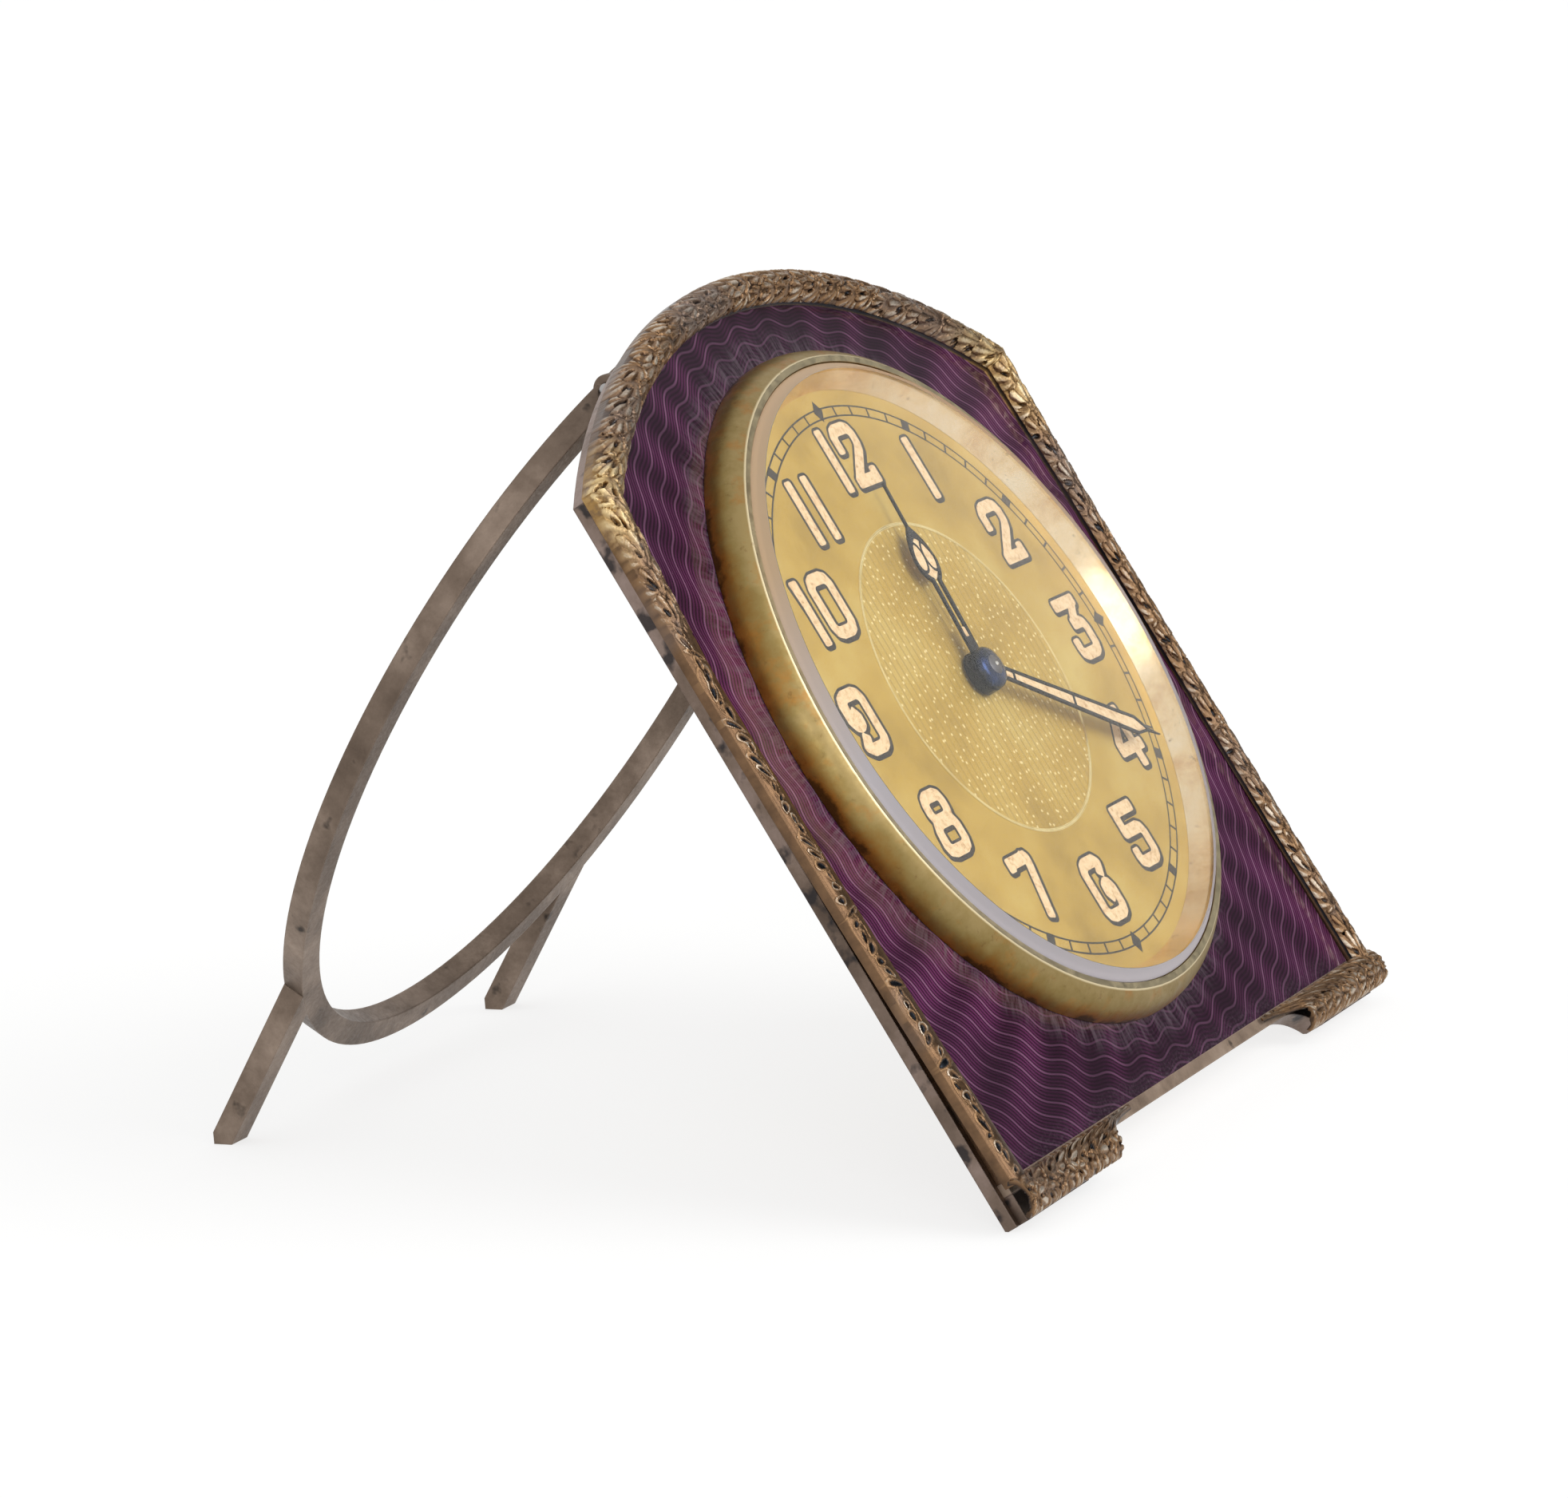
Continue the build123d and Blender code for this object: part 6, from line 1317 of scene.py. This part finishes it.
CAMERA_PLACE = (-455.313, -212.561, 91.545)  # millimetres, from the middle of the dial
CAMERA_TURN = (79.132, 4.296, -64.002)       # degrees
CAMERA_LENS = 142.874        # millimetres, on a sensor of this width
CAMERA_SENSOR = 36.0
CAMERA_CLIP = 0.01           # metres, as all sizes of the stage below
FLOOR_SIZE = 6.0
FLOOR_DROP = 0.00002         # keeps the floor just clear of the feet
SURROUND = 0.55              # light of the surround on matt surfaces
FLOOR_LIFT = 0.75            # brings the unshaded floor up to white
KEY_FROM = (0.05, -0.84, 0.54)               # the soft key stands in front of the dial
KEY_STRENGTH = 1.3
KEY_SPREAD = 40.0            # degrees
FILL_FROM = (-0.78, -0.5, 0.38)              # a softbox above the camera
FILL_AWAY = 1.1
FILL_SIZE = 0.55
FILL_POWER = 1.7
# Dark screen at the right, mirrored in the glass and enamel: degrees from +X towards the front
SCREEN_TURN = (0.0, 80.0)
SCREEN_FADE = (6.0, 22.0)    # over these degrees the screen goes from pale to black
SCREEN_PALE = 0.55
SCREEN_RISE = (-1.0, 48.0)   # degrees above the level of the dial's middle
SCREEN_AWAY = 0.9
SCREEN_COLUMNS = 41


def seen_rays(tree):
    """1 for rays from the eye and through or off glass and metal, 0 for light on matt surfaces."""
    rays = add(tree, "LightPath")
    seen = add(tree, "Math", (rays.outputs["Is Camera Ray"], rays.outputs["Is Glossy Ray"]),
               operation="MAXIMUM")
    return add(tree, "Math", (seen, rays.outputs["Is Transmission Ray"]), operation="MAXIMUM")


class CLOCK_OT_stage(bpy.types.Operator):
    """White floor and surround, soft lamps, a dark screen and the camera"""
    bl_idname = "clock.stage"
    bl_label = "Stage"

    def execute(self, context):
        scene = context.scene
        scene.view_settings.view_transform = "Standard"
        self.surround(scene)
        self.floor(scene)
        self.lamps(scene)
        self.screen(scene)
        lens = bpy.data.cameras.new("camera")
        lens.sensor_fit = "HORIZONTAL"
        lens.sensor_width = CAMERA_SENSOR
        lens.lens = CAMERA_LENS
        lens.clip_start = CAMERA_CLIP
        camera = bpy.data.objects.new("camera", lens)
        camera.location = CENTRE + Vector(CAMERA_PLACE) * MM
        camera.rotation_euler = [math.radians(turn) for turn in CAMERA_TURN]
        scene.collection.objects.link(camera)
        scene.camera = camera
        return {"FINISHED"}

    def surround(self, scene):
        """White for the eye, metal and glass; softer on matt surfaces."""
        world = bpy.data.worlds.new("studio")
        scene.world = world
        world.use_nodes = True
        tree = world.node_tree
        tree.nodes.clear()
        level = add(tree, "MapRange", (seen_rays(tree), 0.0, 1.0, SURROUND, 1.0))
        white = add(tree, "Background", {"Color": "#ffffff", "Strength": level})
        add(tree, "OutputWorld", {"Surface": white})

    def floor(self, scene):
        """A pale floor that shows white and keeps the clock's shadow."""
        material, tree = new_material("white_paper_sweep")
        seen = seen_rays(tree)
        shade = add(tree, "Mix", {0: seen, 6: "#f0f0ef", 7: "#9d9d9c"}, data_type="RGBA")
        matt = add(tree, "BsdfDiffuse", {"Color": shade})
        lift = add(tree, "Math", (seen, FLOOR_LIFT), operation="MULTIPLY")
        glow = add(tree, "Emission", {"Color": "#ffffff", "Strength": lift})
        add(tree, "OutputMaterial", {"Surface": add(tree, "AddShader", (matt, glow))})
        mesh = bpy.data.meshes.new("floor")
        half = FLOOR_SIZE / 2
        mesh.from_pydata([(-half, -half, 0), (half, -half, 0), (half, half, 0), (-half, half, 0)], [],
                         [(0, 1, 2, 3)])
        mesh.materials.append(material)
        floor = bpy.data.objects.new("floor", mesh)
        floor.location.z = -FLOOR_DROP
        scene.collection.objects.link(floor)

    def hang(self, scene, light, shine_from, place):
        """Put up a lamp that shines from a direction."""
        lamp = bpy.data.objects.new(light.name, light)
        lamp.rotation_euler = Vector(shine_from).to_track_quat("Z", "Y").to_euler()
        lamp.location = place
        scene.collection.objects.link(lamp)

    def lamps(self, scene):
        """A broad soft key in front and a round softbox."""
        key = bpy.data.lights.new("soft_key", "SUN")
        key.energy = KEY_STRENGTH
        key.angle = math.radians(KEY_SPREAD)
        self.hang(scene, key, KEY_FROM, CENTRE + Vector(KEY_FROM))
        fill = bpy.data.lights.new("soft_fill", "AREA")
        fill.shape = "DISK"
        fill.size = FILL_SIZE
        fill.energy = FILL_POWER
        self.hang(scene, fill, FILL_FROM, CENTRE + Vector(FILL_FROM).normalized() * FILL_AWAY)

    def screen(self, scene):
        """A dark curved screen that only mirrors see."""
        turns = np.linspace(*SCREEN_TURN, SCREEN_COLUMNS)
        places = []
        for turn in turns:
            for rise in SCREEN_RISE:
                around, up = math.radians(-turn), math.radians(rise)
                flat = math.cos(up)
                way = Vector((math.cos(around) * flat, math.sin(around) * flat, math.sin(up)))
                places.append(CENTRE + way * SCREEN_AWAY)
        mesh = bpy.data.meshes.new("dark_screen")
        strips = [(2 * i, 2 * i + 2, 2 * i + 3, 2 * i + 1) for i in range(SCREEN_COLUMNS - 1)]
        mesh.from_pydata(places, [], strips)
        pale = SCREEN_PALE * np.clip((SCREEN_FADE[1] - turns) / (SCREEN_FADE[1] - SCREEN_FADE[0]), 0, 1)
        mesh.attributes.new("pale", "FLOAT", "POINT").data.foreach_set("value", np.repeat(pale, 2))
        material, tree = new_material("grey_cloth_screen")
        level = add(tree, "Attribute", attribute_name="pale").outputs["Fac"]
        glow = add(tree, "Emission", {"Color": "#ffffff", "Strength": level})
        add(tree, "OutputMaterial", {"Surface": glow})
        mesh.materials.append(material)
        screen = bpy.data.objects.new("dark_screen", mesh)
        screen.visible_camera = False
        screen.visible_diffuse = False
        screen.visible_shadow = False
        screen.visible_transmission = False
        scene.collection.objects.link(screen)


class CLOCK_PT_panel(bpy.types.Panel):
    """Sizes, colours and steps of the clock's looks"""
    bl_idname = "CLOCK_PT_panel"
    bl_label = "Strut clock"
    bl_space_type = "VIEW_3D"
    bl_region_type = "UI"
    bl_category = "Clock"

    def draw(self, context):
        for step in STEPS:
            self.layout.operator(step.bl_idname)
        for group in (context.scene.clock_sizes, context.scene.clock_colours):
            box = self.layout.box()
            for name in group.__annotations__:
                box.prop(group, name)


STEPS = (CLOCK_OT_plate, CLOCK_OT_enamel, CLOCK_OT_mouldings, CLOCK_OT_bezel, CLOCK_OT_dial,
         CLOCK_OT_hands, CLOCK_OT_movement, CLOCK_OT_strut, CLOCK_OT_stage)
CLASSES = (ClockSizes, ClockColours, *STEPS, CLOCK_PT_panel)


def register():
    """Register the classes and hang the properties on the scene."""
    for kind in CLASSES:
        bpy.utils.register_class(kind)
    bpy.types.Scene.clock_sizes = bpy.props.PointerProperty(type=ClockSizes)
    bpy.types.Scene.clock_colours = bpy.props.PointerProperty(type=ClockColours)


def unregister():
    """Take the properties and classes away again."""
    del bpy.types.Scene.clock_sizes
    del bpy.types.Scene.clock_colours
    for kind in reversed(CLASSES):
        bpy.utils.unregister_class(kind)


def main():
    """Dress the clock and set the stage."""
    register()
    for step in STEPS:
        group, name = step.bl_idname.split(".")
        getattr(getattr(bpy.ops, group), name)()


if __name__ == "__main__":
    main()
